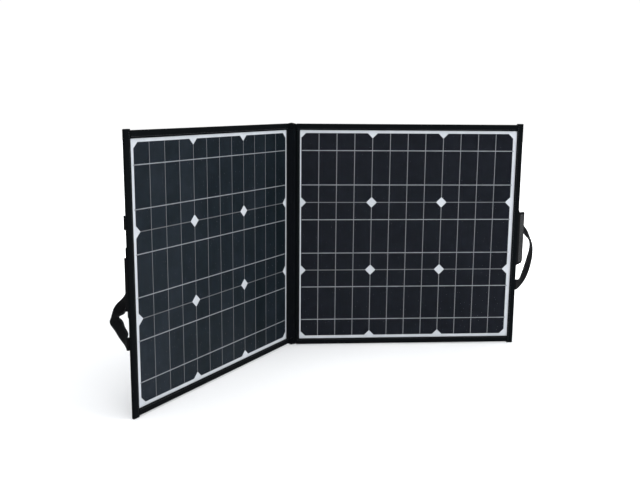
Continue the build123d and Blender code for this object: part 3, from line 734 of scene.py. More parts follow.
def round_corner(x, y, box, radii):
    """Moves a point of a box (x0, x1, y0, y1) into the box with rounded corners; radii run
    x0y0, x1y0, x1y1, x0y1. Returns the point and its depth in from the edge."""
    x0, x1, y0, y1 = box
    corners = ((x0, y0, -1, -1), (x1, y0, 1, -1), (x1, y1, 1, 1), (x0, y1, -1, 1))
    for (corner_x, corner_y, sign_x, sign_y), radius in zip(corners, radii):
        if radius <= 0:
            continue
        centre_x, centre_y = corner_x - sign_x * radius, corner_y - sign_y * radius
        part_x, part_y = (x - centre_x) * sign_x / radius, (y - centre_y) * sign_y / radius
        if part_x > 0 and part_y > 0:
            disc_x = part_x * math.sqrt(max(0, 1 - part_y * part_y / 2))
            disc_y = part_y * math.sqrt(max(0, 1 - part_x * part_x / 2))
            return (centre_x + sign_x * disc_x * radius, centre_y + sign_y * disc_y * radius,
                    radius * (1 - min(1, math.hypot(disc_x, disc_y))))
    return x, y, max(0.0, min(x - x0, x1 - x, y - y0, y1 - y))


# ---------------------------------------------------------------- soft shapes
def sweep(name, material, rings, along, caps=True):
    """Joins closed rings of points; along is each ring's place on the path."""
    count = len(rings[0])
    first = rings[0]
    girth = [0.0, *accumulate((first[(i + 1) % count] - first[i]).length for i in range(count))]
    along = [a * MM for a in along]
    faces, uvs = [], []
    for k in range(len(rings) - 1):
        here, there = k * count, (k + 1) * count
        for i in range(count):
            j = (i + 1) % count
            faces.append((here + i, here + j, there + j, there + i))
            uvs.append(box_uv(girth[i], girth[i + 1], along[k], along[k + 1]))
    for k in (0, len(rings) - 1) if caps else ():
        for i in range(count // 2 - 1):
            corners = (i, i + 1, count - 2 - i, count - 1 - i)
            faces.append(tuple(k * count + c for c in corners))
            uvs.append([(girth[c] * 0.1, along[k]) for c in corners])
    return mesh_object(name, [p for ring in rings for p in ring], faces, uvs, material)


def strap_section(width, thick, steps):
    """Outline of flat webbing: rounded edges and slightly thicker selvedges."""
    selvedge, selvedge_width = 0.12, 2.2
    radius = thick / 2
    half = width / 2 - radius
    top = []
    for i in range(steps + 1):
        x = -half + 2 * half * i / steps
        top.append((x, radius + selvedge * max(0, 1 - (half - abs(x)) / selvedge_width)))
    end = radius + selvedge
    right = [(half + end * math.cos(a), end * math.sin(a))
             for a in (math.radians(45), 0, math.radians(-45))]
    return top + right + [(x, -y) for x, y in reversed(top)] + [(-x, -y) for x, y in right]


def strap_frame(centres, across, k):
    """Width direction and normal of a strap at its centre point k."""
    along = heading(centres, k)
    side = (across[k] - along * across[k].dot(along)).normalized()
    return side, along.cross(side).normalized()


def strap(name, material, centres, across, width, thick, steps, puff=None):
    """Webbing along world points; puff(part along, -1 to 1 across) lifts its surface."""
    section = strap_section(width, thick, steps)
    rings = []
    for k, centre in enumerate(centres):
        side, normal = strap_frame(centres, across, k)
        ring = []
        for x, y in section:
            rise = puff(k / (len(centres) - 1), x / (width / 2)) if puff else 0.0
            ring.append(centre + side * (x * MM) + normal * ((y + rise) * MM))
        rings.append(ring)
    return sweep(name, material, rings, travelled(centres, MM))


def pad(name, material, place, box, half_thick, step, edge=None, corners=(0, 0, 0, 0),
        front=None, back=None, extra_y=(), fine=FINE):
    """Closed flat pad with a rounded rim over a box (x0, x1, y0, y1). place(x, y, z) gives
    the world point, z from back (-) to front (+); front and back are relief(x, y, depth in
    from the rim); edge is the width of the rim's rounding."""
    edge = edge or half_thick
    xs = edge_list(box[0], box[1], step, fine)
    ys = edge_list(box[2], box[3], step, fine, extra_y)
    last_x, last_y = len(xs) - 1, len(ys) - 1
    verts, index = [], {}
    for sign, relief in ((1, front), (-1, back)):
        for j, y in enumerate(ys):
            for i, x in enumerate(xs):
                rim = i in (0, last_x) or j in (0, last_y)
                if rim and sign < 0:
                    index[-1, i, j] = index[1, i, j]
                    continue
                px, py, depth = round_corner(x, y, box, corners)
                z = 0.0
                if not rim:
                    part = min(1.0, depth / edge)
                    z = half_thick * dome(part)
                    if relief:
                        z += relief(px, py, depth) * part
                index[sign, i, j] = len(verts)
                verts.append(place(px, py, sign * z))
    faces, uvs = [], []
    for sign in (1, -1):
        for j in range(last_y):
            for i in range(last_x):
                quad = [(i, j), (i + 1, j), (i + 1, j + 1), (i, j + 1)][::sign]
                faces.append(tuple(index[sign, a, b] for a, b in quad))
                uvs.append([(xs[a] * MM, ys[b] * MM) for a, b in quad])
    return mesh_object(name, verts, faces, uvs, material)


def tape_outline(depth, front, back, radius, stitch_at):
    """Section of a folded tape, (reach from the lips, z), with a groove under the thread."""
    sunk = front - 0.16
    half = [(0.0, front - 0.3), (0.35, front - 0.02), (stitch_at - 1.2, front),
            (stitch_at - 0.3, sunk), (stitch_at + 0.3, sunk), (stitch_at + 1.2, front),
            (depth * 0.5, front), (depth - radius, front)]
    for degrees in (70, 50, 30, 10):
        angle = math.radians(degrees)
        half.append((depth - radius + radius * math.cos(angle),
                     front - radius + radius * math.sin(angle)))
    return half + [(reach, front + back - z) for reach, z in reversed(half)]


def folded_tape(name, material, place, stations, depth, front, back, wall, radius,
                closed_ends=False, stitch_at=3.2, rough=0.12):
    """Tape folded over an edge. place(reach, z, t): reach from the tape's lips to its fold,
    z forward, t along; rough is the height of its unevenness."""
    outer = tape_outline(depth, front, back, radius, stitch_at)
    inner = [(min(reach, depth - wall), max(min(z, front - wall), back + wall))
             for reach, z in outer]
    last = len(outer) - 1
    girth = [0.0, *accumulate(gap(a, b) * MM for a, b in zip(outer, outer[1:]))]
    start, end = stations[0], stations[-1]
    # closed ends are solid for the first and last 1.15 mm
    core = [k for k, t in enumerate(stations)
            if not closed_ends or start + 1.15 <= t <= end - 1.15]
    core_start, core_end = core[0], core[-1]
    middle = (front + back) / 2
    verts, faces, uvs, skin, lining = [], [], [], {}, {}
    for k, t in enumerate(stations):
        pinch = dome(min(t - start, end - t) / 1.6) if closed_ends else 1.0
        for i, (reach, z) in enumerate(outer):
            rise = z - middle
            if abs(rise) > 1 and 0 < i < last:
                wobble = rough * (0.6 * lump(t, reach * 2, z * 3 + 7, 9.0)
                                  + 0.9 * lump(t, reach, z + 31, 34.0))
                rise += math.copysign(wobble, rise)
            draw_in = 1.3 if reach > depth * 0.5 else 0.0
            skin[k, i] = len(verts)
            verts.append(place(reach - (1 - pinch) * draw_in * (reach / depth),
                               middle + rise * (0.72 + 0.28 * pinch), t))
    for k in range(core_start, core_end + 1):
        for i, (reach, z) in enumerate(inner):
            lining[k, i] = len(verts)
            verts.append(place(reach, z, stations[k]))

    def add(ids, uv):
        faces.append(tuple(ids))
        uvs.append(uv)

    def cap(ids, k, v):
        for i in range(last // 2):
            add([ids[k, c] for c in (i, i + 1, last - i - 1, last - i)],
                [(0.001 * c, v) for c in range(4)])

    lip = 0.0008  # metres of uv across a lip
    for k in range(len(stations) - 1):
        n = k + 1
        here, there = stations[k] * MM, stations[n] * MM
        hollow = core_start <= k < core_end
        for i in range(last):
            j = i + 1
            add((skin[k, i], skin[k, j], skin[n, j], skin[n, i]),
                box_uv(girth[i], girth[j], here, there))
            if hollow:
                add((lining[k, j], lining[k, i], lining[n, i], lining[n, j]),
                    box_uv(girth[j], girth[i], here, there))
        if hollow:
            for i in (0, last):
                add((skin[k, i], lining[k, i], lining[n, i], skin[n, i]),
                    box_uv(0, lip, here, there))
        else:
            lower = [skin[k, 0], skin[k, last]]
            upper = [skin[n, 0], skin[n, last]]
            if k == core_end:
                lower[1:1] = lining[k, 0], lining[k, last]
            if n == core_start:
                upper[1:1] = lining[n, 0], lining[n, last]
            ids = lower + upper[::-1]
            add(ids, [(0.001 * c, here if c < len(lower) else there) for c in range(len(ids))])
    for k in (core_start, core_end):
        if closed_ends:
            cap(lining, k, 0.0)
        else:
            for i in range(last):
                add((skin[k, i], skin[k, i + 1], lining[k, i + 1], lining[k, i]),
                    box_uv(girth[i], girth[i + 1], 0, lip))
    if closed_ends:
        for k in (0, len(stations) - 1):
            cap(skin, k, 0.002)
    return mesh_object(name, verts, faces, uvs, material, sharp=45)


# One stitch: place along it in lengths, thickness and height in radii. The first and last
# are its tips.
STITCH = ((-0.5, 0.0, -0.5), (-0.32, 0.85, 0.0), (0.0, 1.0, 0.15), (0.32, 0.85, 0.0),
          (0.5, 0.0, -0.5))
STITCH_SIDES = 5


def stitches(name, material, runs, pitch, length, radius, sink=0.12):
    """One bead of thread per stitch. runs holds (points, normals) polylines in the world;
    sink is how deep the thread's middle line is pulled in."""
    verts, faces, uvs = [], [], []
    for points, normals in runs:
        segments = [(b - a).length / MM for a, b in zip(points, points[1:])]
        total = sum(segments)
        count = max(1, int(total / pitch))
        for c in range(count):
            left = (c + 0.5) * (total / count)
            i = 0
            while i < len(segments) - 1 and left > segments[i]:
                left -= segments[i]
                i += 1
            part = left / max(segments[i], 1e-9)
            centre = points[i].lerp(points[i + 1], part)
            along = (points[i + 1] - points[i]).normalized()
            up = normals[i].lerp(normals[i + 1], part).normalized()
            side = along.cross(up).normalized()
            base = len(verts)
            for place, thick, height in STITCH:
                middle = (centre + along * (place * length * MM)
                          + up * ((height * radius - sink) * MM))
                if thick == 0:
                    verts.append(middle)
                    continue
                for q in range(STITCH_SIDES):
                    angle = q * math.tau / STITCH_SIDES + 0.3
                    spoke = side * math.cos(angle) + up * math.sin(angle)
                    verts.append(middle + spoke * (thick * radius * MM))
            a, b, d, e, tip = (base, *(base + 1 + STITCH_SIDES * k for k in range(4)))
            for q in range(STITCH_SIDES):
                n = (q + 1) % STITCH_SIDES
                for face in ((a, b + n, b + q), (b + q, b + n, d + n, d + q),
                             (d + q, d + n, e + n, e + q), (e + q, e + n, tip)):
                    faces.append(face)
                    uvs.append([(0.0002 * c, 0.0002 * q) for c in range(len(face))])
    return mesh_object(name, verts, faces, uvs, material, sharp=None)


def seam(place, start, end, normal):
    """A run of stitches along place(t)."""
    points = [place(t) for t in spaced(start, end, 8.0)]
    return points, [normal] * len(points)


def corner_runs(place, corners, z, normal):
    """A run of stitches for each leg between (x, y) corners."""
    return [([place(*a, z), place(*b, z)], [normal, normal])
            for a, b in zip(corners, corners[1:])]


def closed_cord(name, material, points, radius, sides):
    """Round cord through a closed loop of world points."""
    count = len(points)
    spoke = heading(points, 0, closed=True).orthogonal().normalized()
    rings = []
    for k, point in enumerate(points):
        along = heading(points, k, closed=True)
        spoke = (spoke - along * spoke.dot(along)).normalized()
        other = along.cross(spoke)
        angles = [q * math.tau / sides for q in range(sides)]
        rings.append([point + (spoke * math.cos(a) + other * math.sin(a)) * (radius * MM)
                      for a in angles])
    along = travelled(points, MM)
    faces, uvs = [], []
    for k in range(count):
        n = (k + 1) % count
        # the last ring joins the first at its nearest spoke
        shift = 0 if n else min(range(sides), key=lambda s: (rings[0][s] - rings[k][0]).length)
        for i in range(sides):
            j = (i + 1) % sides
            faces.append((k * sides + i, k * sides + j,
                          n * sides + (j + shift) % sides, n * sides + (i + shift) % sides))
            uvs.append(box_uv(i * 0.0006, (i + 1) * 0.0006,
                              along[k] * MM, (along[k] + 2) * MM))
    return mesh_object(name, [p for ring in rings for p in ring], faces, uvs, material,
                       sharp=None)


# ---------------------------------------------------------------- panel borders and rear fabric
def border_tapes(sheet):
    side = sheet.side
    for name, up in (("top", 1), ("bottom", -1)):
        tape = folded_tape(f"{side}_{name}_binding", BORDER,
                           lambda reach, z, t: sheet.at(t, up * (TAPE_LIP + reach), z),
                           spaced(2.0, FABRIC_X[1], 5.0), TAPE_DEPTH, front=5.95, back=-0.2,
                           wall=0.85, radius=2.3, rough=0.16)
        attach(tape, sheet.panel, "border_fabric", f"{side}_edge_binding")
    # the outer side tape is folded shut over both corners
    ends = (0, 0.2, 0.5, 0.85, 1.15, 1.7, 2.6, 4.0)
    stations = sorted({e - SIDE_HALF for e in ends} | set(spaced(-254, 254, 5.0))
                      | {SIDE_HALF - e for e in ends})
    tape = folded_tape(f"{side}_side_tape_sewn", BORDER,
                       lambda reach, z, t: sheet.at(SIDE_LIP + reach, t, z),
                       stations, TAPE_DEPTH, front=6.05, back=-0.3, wall=0.9, radius=2.4,
                       closed_ends=True, rough=0.16)
    attach(tape, sheet.panel, "border_fabric", f"{side}_side_tape")
    # hem round the inner edge, beside the fold
    hem = folded_tape(f"{side}_fold_hem", BORDER,
                      lambda reach, z, t: sheet.at(10.0 - reach, t, z),
                      spaced(-FABRIC_HALF, FABRIC_HALF, 3.0), depth=8.0, front=5.9,
                      back=-0.12, wall=0.4, radius=1.6, stitch_at=2.6, rough=0.3)
    attach(hem, sheet.panel, "border_fabric", f"{side}_inner_hem")


def rear_fabric(sheet):
    """Taut fabric, with faint drag lines towards the stitched edges."""
    def drag(x, y, depth):
        part = min(1.0, depth / 30)
        x += sheet.phase
        fine_x = (x - sheet.phase) * 1.3 + sheet.phase
        return (0.16 * lump(x, y, 3, 42) * part
                + 0.10 * (1 - part) * lump(fine_x, y * 1.3, 9, 11)
                + 0.10 * lump(x, y, 17, 120))
    fabric = pad(f"{sheet.side}_rear_fabric", CASE, lambda x, y, z: sheet.at(x, y, 0.4 + z),
                 (*FABRIC_X, -FABRIC_HALF, FABRIC_HALF), half_thick=0.36, step=7.0, back=drag)
    attach(fabric, sheet.panel, "case_fabric", f"{sheet.side}_rear_cover")


def tape_stitching(sheet):
    """Thread along every border tape, front and back."""
    runs = []
    for up in (1, -1):
        for z, normal in sheet.faces(5.82, -0.06):
            runs.append(seam(lambda t: sheet.at(t, up * SEAM_HEIGHT, z), 4, 507, normal))
    # place across, half length, z at the front and at the back
    for x, half, front, back in ((511.8, 256, 5.92, -0.16), (7.4, 242, 5.78, 0.02)):
        for z, normal in sheet.faces(front, back):
            runs.append(seam(lambda t: sheet.at(x, t, z), -half, half, normal))
    thread = stitches(f"{sheet.side}_tape_stitching", THREAD, runs, pitch=4.2, length=3.2,
                      radius=0.34)
    attach(thread, sheet.panel, "border_fabric")


# ---------------------------------------------------------------- carry handles
# Stations from the upper to the lower end: places outward, back and up from the edge line,
# then the direction of the strap's width, outward, back and up.
HANDLE = {
    "right": (
        (-0.2, 2.7, 98.0, 0.0, 0.0, 1.0),
        (-0.5, 14.0, 97.0, 0.05, 0.15, 0.99),
        (0.0, 30.0, 90.0, 0.15, 0.5, 0.85),
        (2.5, 43.5, 73.0, 0.32, 0.58, 0.75),
        (13.5, 50.0, 46.0, 0.48, 0.78, 0.38),
        (26.5, 50.2, 14.0, 0.5, 0.84, 0.08),
        (36.9, 50.0, -2.7, 0.57, 0.8, 0.17),
        (45.4, 48.0, -17.1, 0.42, 0.9, 0.05),
        (49.3, 46.0, -32.8, 0.52, 0.85, -0.08),
        (48.0, 44.0, -51.9, 0.65, 0.73, -0.21),
        (43.3, 42.0, -74.4, 0.72, 0.59, -0.36),
        (36.1, 38.0, -95.7, 0.67, 0.51, -0.54),
        (26.1, 29.5, -111.3, 0.49, 0.45, -0.74),
        (11.0, 14.0, -121.5, 0.12, 0.35, -0.93),
        (1.9, 1.9, -119.5, 0.0, 0.0, -1.0),
    ),
    "left": (
        (-5.2, 3.8, 98.0, 0.0, 0.0, 1.0),
        (-11.5, 8.6, 97.5, -0.05, 0.08, 1.0),
        (-26.0, 21.0, 90.0, -0.2, 0.35, 0.92),
        (-45.0, 32.0, 69.0, -0.4, 0.65, 0.65),
        (-58.0, 38.0, 36.0, -0.45, 0.82, 0.35),
        (-61.0, 40.0, 2.0, -0.4, 0.9, 0.18),
        (-56.0, 41.0, -30.0, -0.3, 0.93, 0.2),
        (-54.7, 41.0, -44.4, -0.36, 0.88, 0.31),
        (-38.2, 42.5, -55.8, -0.37, 0.91, 0.19),
        (-21.1, 42.5, -73.4, -0.08, 0.97, 0.21),
        (-11.1, 41.0, -81.8, 0.14, 0.99, 0.02),
        (-13.5, 36.0, -91.7, 0.22, 0.92, -0.34),
        (-12.0, 27.0, -101.5, 0.11, 0.72, -0.69),
        (-9.0, 13.0, -114.0, 0.05, 0.2, -0.97),
        (-0.8, 2.7, -119.5, 0.0, 0.0, -1.0),
    ),
}
# Box and cross of thread on a tail: (up from the tail's middle, outward).
TAIL_CROSS = ((-9.4, 499.2), (9.4, 499.2), (9.4, 517.8), (-9.4, 517.8),
              (-9.4, 499.2), (9.4, 517.8), (9.4, 499.2), (-9.4, 517.8))


def handle_tails(sheet):
    """The webbing tails of the handle, sewn to the panel's back."""
    runs = []
    for name, height in TAIL_HEIGHTS:
        tail = pad(f"{sheet.side}_{name}_handle_tail", WEB_PATCH,
                   lambda x, y, z: sheet.at(y, height + x, -1.4 + z),
                   (-WEB_WIDTH / 2, WEB_WIDTH / 2, 496.0, 521.0), half_thick=1.0, step=2.5,
                   corners=(1.2,) * 4,
                   back=lambda x, y, depth: (0.1 * lump(x, y, height, 6)
                                             - (0.18 if 2.4 < depth < 3.6 else 0)))
        attach(tail, sheet.panel, "webbing", f"{sheet.side}_handle_anchors")
        runs += corner_runs(lambda x, y, z: sheet.at(y, height + x, z), TAIL_CROSS,
                            -2.36, -sheet.front)
    thread = stitches(f"{sheet.side}_handle_tail_stitching", THREAD_PALE, runs, pitch=2.6,
                      length=2.1, radius=0.3)
    attach(thread, sheet.panel, "webbing")


def bow(part, across_squared):
    """Lift of the handle's edges over its middle, strongest halfway along."""
    return 0.5 * (across_squared - 0.4) * math.sin(math.pi * part)


def carry_handle(sheet):
    loop = f"{sheet.side}_handle_loop"
    stations = [(sheet.at(EDGE_X + out, up, EDGE_Z - back),
                 sheet.toward(*width).normalized() * 0.02)
                for out, back, up, *width in HANDLE[sheet.side]]
    centres = spline([point for point, _ in stations], HANDLE_STEPS)
    rail = spline([point + width for point, width in stations], HANDLE_STEPS)
    across = [b - a for a, b in zip(centres, rail)]
    handle = strap(f"{sheet.side}_carry_handle", WEB, centres, across, WEB_WIDTH, thick=1.8,
                   puff=lambda t, x: bow(t, x * x) + 0.16 * lump(t * 215, x * 9, 3, 9),
                   steps=10)
    attach(handle, loop, "webbing", f"{sheet.side}_handle")
    runs = []
    for edge in (-1, 1):
        for face in (-1, 1):
            line, normals = [], []
            for k in range(3, HANDLE_STEPS - 3, 2):
                width, normal = strap_frame(centres, across, k)
                rise = face * 0.92 + bow(k / (HANDLE_STEPS - 1), 0.67)
                line.append(centres[k] + width * (edge * 10.2 * MM) + normal * (rise * MM))
                normals.append(normal * face)
            runs.append((line, normals))
    thread = stitches(f"{sheet.side}_handle_stitching", THREAD_PALE, runs, pitch=3.4,
                      length=2.7, radius=0.26, sink=0.1)
    attach(thread, loop, "webbing")


def handle_roots(sheet):
    """The strap's two ends, which bend where it leaves the panel."""
    stations = HANDLE[sheet.side]
    for (name, height), end, inner in zip(TAIL_HEIGHTS, (stations[0], stations[-1]),
                                          (stations[1], stations[-2])):
        shift = -4.4 if (sheet.side, name) == ("left", "upper") else 0.0
        # places outward and back from the edge line
        route = [(shift - 4.4, -0.1), (shift - 3.3, -0.1), (shift - 2.2, 0.0),
                 (shift - 1.35, 0.35), (shift - 0.85, 1.1), (end[0] - 0.1, 1.9 - shift * 0.15),
                 end[:2], (end[0] * 0.75 + inner[0] * 0.25, end[1] * 0.75 + inner[1] * 0.25)]
        centres = spline([sheet.at(EDGE_X + out, height, EDGE_Z - back)
                          for out, back in route], 14)
        root = strap(f"{sheet.side}_{name}_handle_root", WEB, centres, [UP] * len(centres),
                     width=24.4, thick=1.5, steps=6)
        bridge(root, sheet.panel, f"{sheet.side}_handle_loop",
               start=sheet.at(EDGE_X + shift - 2.4, height, EDGE_Z + 0.2),
               end=sheet.at(EDGE_X + shift - 0.2, height, EDGE_Z - 2.3))


# ---------------------------------------------------------------- closure flaps
FLAP_END = 39.4                    # outer end, from the edge line
FLAP_BOTTOM, FLAP_TOP = -71.4, 54.4
LOWER_RADIUS, UPPER_RADIUS = 8.4, 3.4
FLAP_SKEW = 3.4                    # drop of the upper outer corner
BINDING_INSET = 0.1
HOOK_BOX = (8.2, 35.6, -66.0, 49.0)
HOOK_SEAM = ((10.2, -64.2), (10.2, 47.2), (33.6, 47.2), (33.6, -64.2), (10.2, -64.2))
# turn: degrees from straight out towards the back. The root's route gives places outward
# and forward from the edge line, at height root_y.
FLAP = {
    "right": dict(turn=53.0, root_y=-8.5, root_width=124.0, route=(
        (-1.25, 4.4), (-1.12, 2.8), (-0.85, 1.2), (-0.2, 0.2), (0.75, -0.85), (1.75, -2.3),
        (2.7, -3.6))),
    "left": dict(turn=180.0, root_y=-11.0, root_width=96.0, route=(
        (-1.25, 4.4), (-1.12, 2.8), (-0.75, 1.5), (0.05, 0.75), (0.75, 0.2), (0.9, -0.5),
        (0.3, -0.95), (-0.9, -0.5), (-2.2, -0.1), (-3.4, 0.0))),
}


def flap_rim():
    """The bound edge, from the upper inner end round to the lower inner end."""
    right, top = FLAP_END - BINDING_INSET, FLAP_TOP - BINDING_INSET
    bottom = FLAP_BOTTOM + BINDING_INSET

    def corner(radius, y, start, end):
        return [(right - radius + radius * math.cos(a), y + radius * math.sin(a))
                for a in np.linspace(start, end, 7)]
    outline = [(3.2, top)] + [(x, top) for x in np.linspace(6, 34, 10)]
    outline += corner(UPPER_RADIUS, top - UPPER_RADIUS, math.pi / 2, 0)
    outline += [(right, y) for y in np.linspace(48, -60, 26)]
    outline += corner(LOWER_RADIUS, bottom + LOWER_RADIUS, 0, -math.pi / 2)
    outline += [(x, bottom) for x in np.linspace(29, 6, 8)] + [(3.2, bottom)]
    return [Vector((x, y, 0)) for x, y in outline]


def flap_binding(sheet, place):
    rim = flap_rim()
    along = travelled(rim)
    half_width, half_thick = 2.3, 1.22
    rings = []
    for k, point in enumerate(rim):
        path = heading(rim, k)
        outward = Vector((-path.y, path.x, 0))
        high = half_thick + 0.12 * lump(along[k], 3, sheet.phase, 8)
        ring = []
        for i in range(12):
            cos, sin = math.cos(i * math.tau / 12), math.sin(i * math.tau / 12)
            reach = math.copysign(abs(cos) ** 0.7, cos) * half_width - 1.5
            z = math.copysign(abs(sin) ** 0.7, sin) * high
            ring.append(place(point.x + outward.x * reach, point.y + outward.y * reach, z))
        rings.append(ring)
    return sweep(f"{sheet.side}_flap_binding", BORDER, rings, along)


def closure_flap(sheet):
    """The flap with its bound edge, hook tape, stitching and the bend at its root."""
    side, body, shape = sheet.side, f"{sheet.side}_flap", FLAP[sheet.side]
    turn = math.radians(shape["turn"])
    out = sheet.out * math.cos(turn) - sheet.front * math.sin(turn)
    normal = sheet.out * math.sin(turn) + sheet.front * math.cos(turn)
    hinge = sheet.at(EDGE_X, 0, EDGE_Z)

    def place(x, y, z):
        y -= FLAP_SKEW * (x / FLAP_END) * max(0.0, y / FLAP_TOP) ** 2
        return hinge + out * (x * MM) + UP * (y * MM) + normal * (z * MM)

    def relief(height, seed):
        return lambda x, y, depth: height * lump(x, y, seed, 14) - (0.15 if 4 < depth < 5.5 else 0)
    flap = pad(f"{side}_fastening_flap", CASE, place, (2.3, FLAP_END, FLAP_BOTTOM, FLAP_TOP),
               half_thick=0.95, corners=(0, LOWER_RADIUS, UPPER_RADIUS, 0), step=4.0,
               front=relief(0.10, 5), back=relief(0.14, 8))
    attach(flap, body, "case_fabric", f"{side}_closure_flap")
    attach(flap_binding(sheet, place), body, "border_fabric")
    hook = pad(f"{side}_hook_tape", HOOK, lambda x, y, z: place(x, y, 1.36 + z), HOOK_BOX,
               half_thick=0.36, corners=(3.5,) * 4, step=2.4,
               front=lambda x, y, depth: 0.05 * lump(x * 3, y * 3, 2, 3))
    attach(hook, body, "hook_tape", f"{side}_hook_strip")
    runs = (corner_runs(place, HOOK_SEAM, 1.72, normal)
            + corner_runs(place, HOOK_SEAM, -1.0, -normal))
    thread = stitches(f"{side}_flap_stitching", THREAD, runs, pitch=3.2, length=2.5,
                      radius=0.28)
    attach(thread, body, "hook_tape")
    centres = spline([sheet.at(EDGE_X + x, shape["root_y"], EDGE_Z + z)
                      for x, z in shape["route"]], 18)
    root = strap(f"{side}_flap_root", CASE, centres, [UP] * len(centres),
                 shape["root_width"], thick=0.7, steps=30)
    bridge(root, sheet.panel, body,
           start=sheet.at(EDGE_X - 0.9, 0, EDGE_Z + 1.4), end=hinge + out * 0.0021)


# ---------------------------------------------------------------- kickstands
STAND_X = (70.0, 230.0)
STAND_MIDDLE = sum(STAND_X) / 2
STAND_Y = (-117.4, 87.4)
STAND_Z = -3.0                     # middle of the sleeve's thickness
# (y, z) through the bend from the hinge strip to the sleeve
STAND_FOLD = ((95.2, -1.3), (93.6, -1.4), (92.0, -2.0), (90.0, -2.75), (88.4, -3.0),
              (86.6, -3.05), (85.4, -3.05))
STAND_SEAM = ((74.4, 83.0), (225.6, 83.0), (225.6, -104.5), (74.4, -104.5), (74.4, 83.0))


def kickstand(sheet):
    """Padded sleeve, foot tape, sewn hinge strip, the fold between, and their thread."""
    side, body, back = sheet.side, f"{sheet.side}_kickstand", -sheet.front

    def billow(x, y, depth):
        part = min(1.0, depth / 18)
        x += sheet.phase
        return (0.30 * part * lump(x, y, 5, 34) + 0.12 * lump(x, y, 21, 10)
                - 0.25 * (1 - part) - (0.21 if 3.6 < depth < 5.0 else 0.0))
    sleeve = pad(f"{side}_kickstand_pocket", CASE,
                 lambda x, y, z: sheet.at(x, y, STAND_Z + z), (*STAND_X, *STAND_Y),
                 half_thick=2.0, edge=2.4, step=4.5, corners=(2, 2, 5, 5),
                 front=lambda x, y, depth: 0.05 * lump(x, y, 2, 20), back=billow,
                 extra_y=(-108.0,))
    attach(sleeve, body, "case_fabric", f"{side}_kickstand_sleeve")
    foot = folded_tape(f"{side}_kickstand_foot_tape", WEB_PATCH,
                       lambda reach, z, t: sheet.at(t, -108.2 - reach, STAND_Z + z),
                       spaced(STAND_X[0] - 0.4, STAND_X[1] + 0.4, 4.0), depth=12.2,
                       front=2.45, back=-2.45, wall=0.4, radius=1.9, stitch_at=2.6, rough=0.1)
    attach(foot, body, "webbing", f"{side}_kickstand_foot")
    strip = pad(f"{side}_kickstand_hinge_strip", WEB_PATCH,
                lambda x, y, z: sheet.at(y, x, -1.2 + z), (92.6, 110.4, *STAND_X),
                half_thick=0.95, step=4.0,
                back=lambda x, y, depth: 0.08 * lump(x, y, 4, 9))
    attach(strip, sheet.panel, "webbing", f"{side}_kickstand_hinge")
    centres = spline([sheet.at(STAND_MIDDLE, y, z) for y, z in STAND_FOLD], 14)
    fold = strap(f"{side}_kickstand_fold_web", CASE, centres, [sheet.out] * len(centres),
                 width=159.0, thick=0.8, steps=36)
    bridge(fold, sheet.panel, body,
           start=sheet.at(STAND_MIDDLE, 92.0, STAND_Z), end=sheet.at(STAND_MIDDLE, 88.0, STAND_Z))
    runs = [seam(lambda t: sheet.at(t, y, -2.12), 72, 228, back) for y in (95.0, 108.0)]
    thread = stitches(f"{side}_kickstand_hinge_stitching", THREAD, runs, pitch=3.6,
                      length=2.8, radius=0.3)
    attach(thread, sheet.panel, "webbing")
    thread = stitches(f"{side}_kickstand_pocket_stitching", THREAD,
                      corner_runs(sheet.at, STAND_SEAM, -4.72, back), pitch=3.6,
                      length=2.8, radius=0.3, sink=0.05)
    attach(thread, body, "case_fabric")


def spine_fold_web(sheet):
    """Fabric along the fold, between panel and spine."""
    web = pad(f"{sheet.side}_spine_fold_web", CASE,
              lambda x, y, z: sheet.at(y, x, AXIS_Z + z), (-256.0, 256.0, -1.7, 2.75),
              half_thick=0.32, step=0.6, fine=(0.0, 0.2, 0.5))
    bridge(web, sheet.panel, "spine",
           start=sheet.at(1.9, 0, AXIS_Z), end=sheet.at(-1.3, 0, AXIS_Z))


for sheet in PANELS:
    border_tapes(sheet)
    rear_fabric(sheet)
    tape_stitching(sheet)
    handle_tails(sheet)
    carry_handle(sheet)
    handle_roots(sheet)
    closure_flap(sheet)
    kickstand(sheet)
    spine_fold_web(sheet)

# ---------------------------------------------------------------- spine
SPINE_HALF = 9.445       # half width of the flat faces
SPINE_RADIUS = 1.5
SPINE_COVER_HALF = 243.3


def spine_ring(y, grow, wobble, shrink=0.0):
    """Outline round the spine at height y: two flat faces and two round edges, as world
    points. grow bulges the faces; shrink draws the ring in at a closed end."""
    flat_steps, arc_steps = 16, 10
    keep = 1 - shrink
    ring = []
    for face in (1, -1):
        for i in range(flat_steps + 1):
            x = face * (-SPINE_HALF + 2 * SPINE_HALF * i / flat_steps)
            part = x / SPINE_HALF
            ripple = lump(y, x, 5 + 3 * face, 17) + 0.6 * lump(y, x, 50 + 3 * face, 6)
            bulge = grow * max(0.0, 1 - part**2) + wobble * ripple * max(0.0, 1 - part**4)
            ring.append(SPINE.at(x * (1 - shrink * 0.12), y,
                                 AXIS_Z + face * (SPINE_RADIUS * keep + bulge)))
        for i in range(1, arc_steps):
            angle = math.pi / 2 - math.pi * i / arc_steps
            radius = SPINE_RADIUS * keep
            ring.append(SPINE.at(face * (SPINE_HALF + radius * math.cos(angle)), y,
                                 AXIS_Z + face * radius * math.sin(angle)))
    return ring


def spine_cover():
    heights = spaced(-SPINE_COVER_HALF, SPINE_COVER_HALF, 3.5)
    rings = [spine_ring(y, grow=-0.35, wobble=0.12) for y in heights]
    cover = sweep("spine_fabric", SPINE_FABRIC, rings, heights, caps=False)
    thicken(cover, -0.45)
    attach(cover, "spine", "case_fabric", "spine_cover")


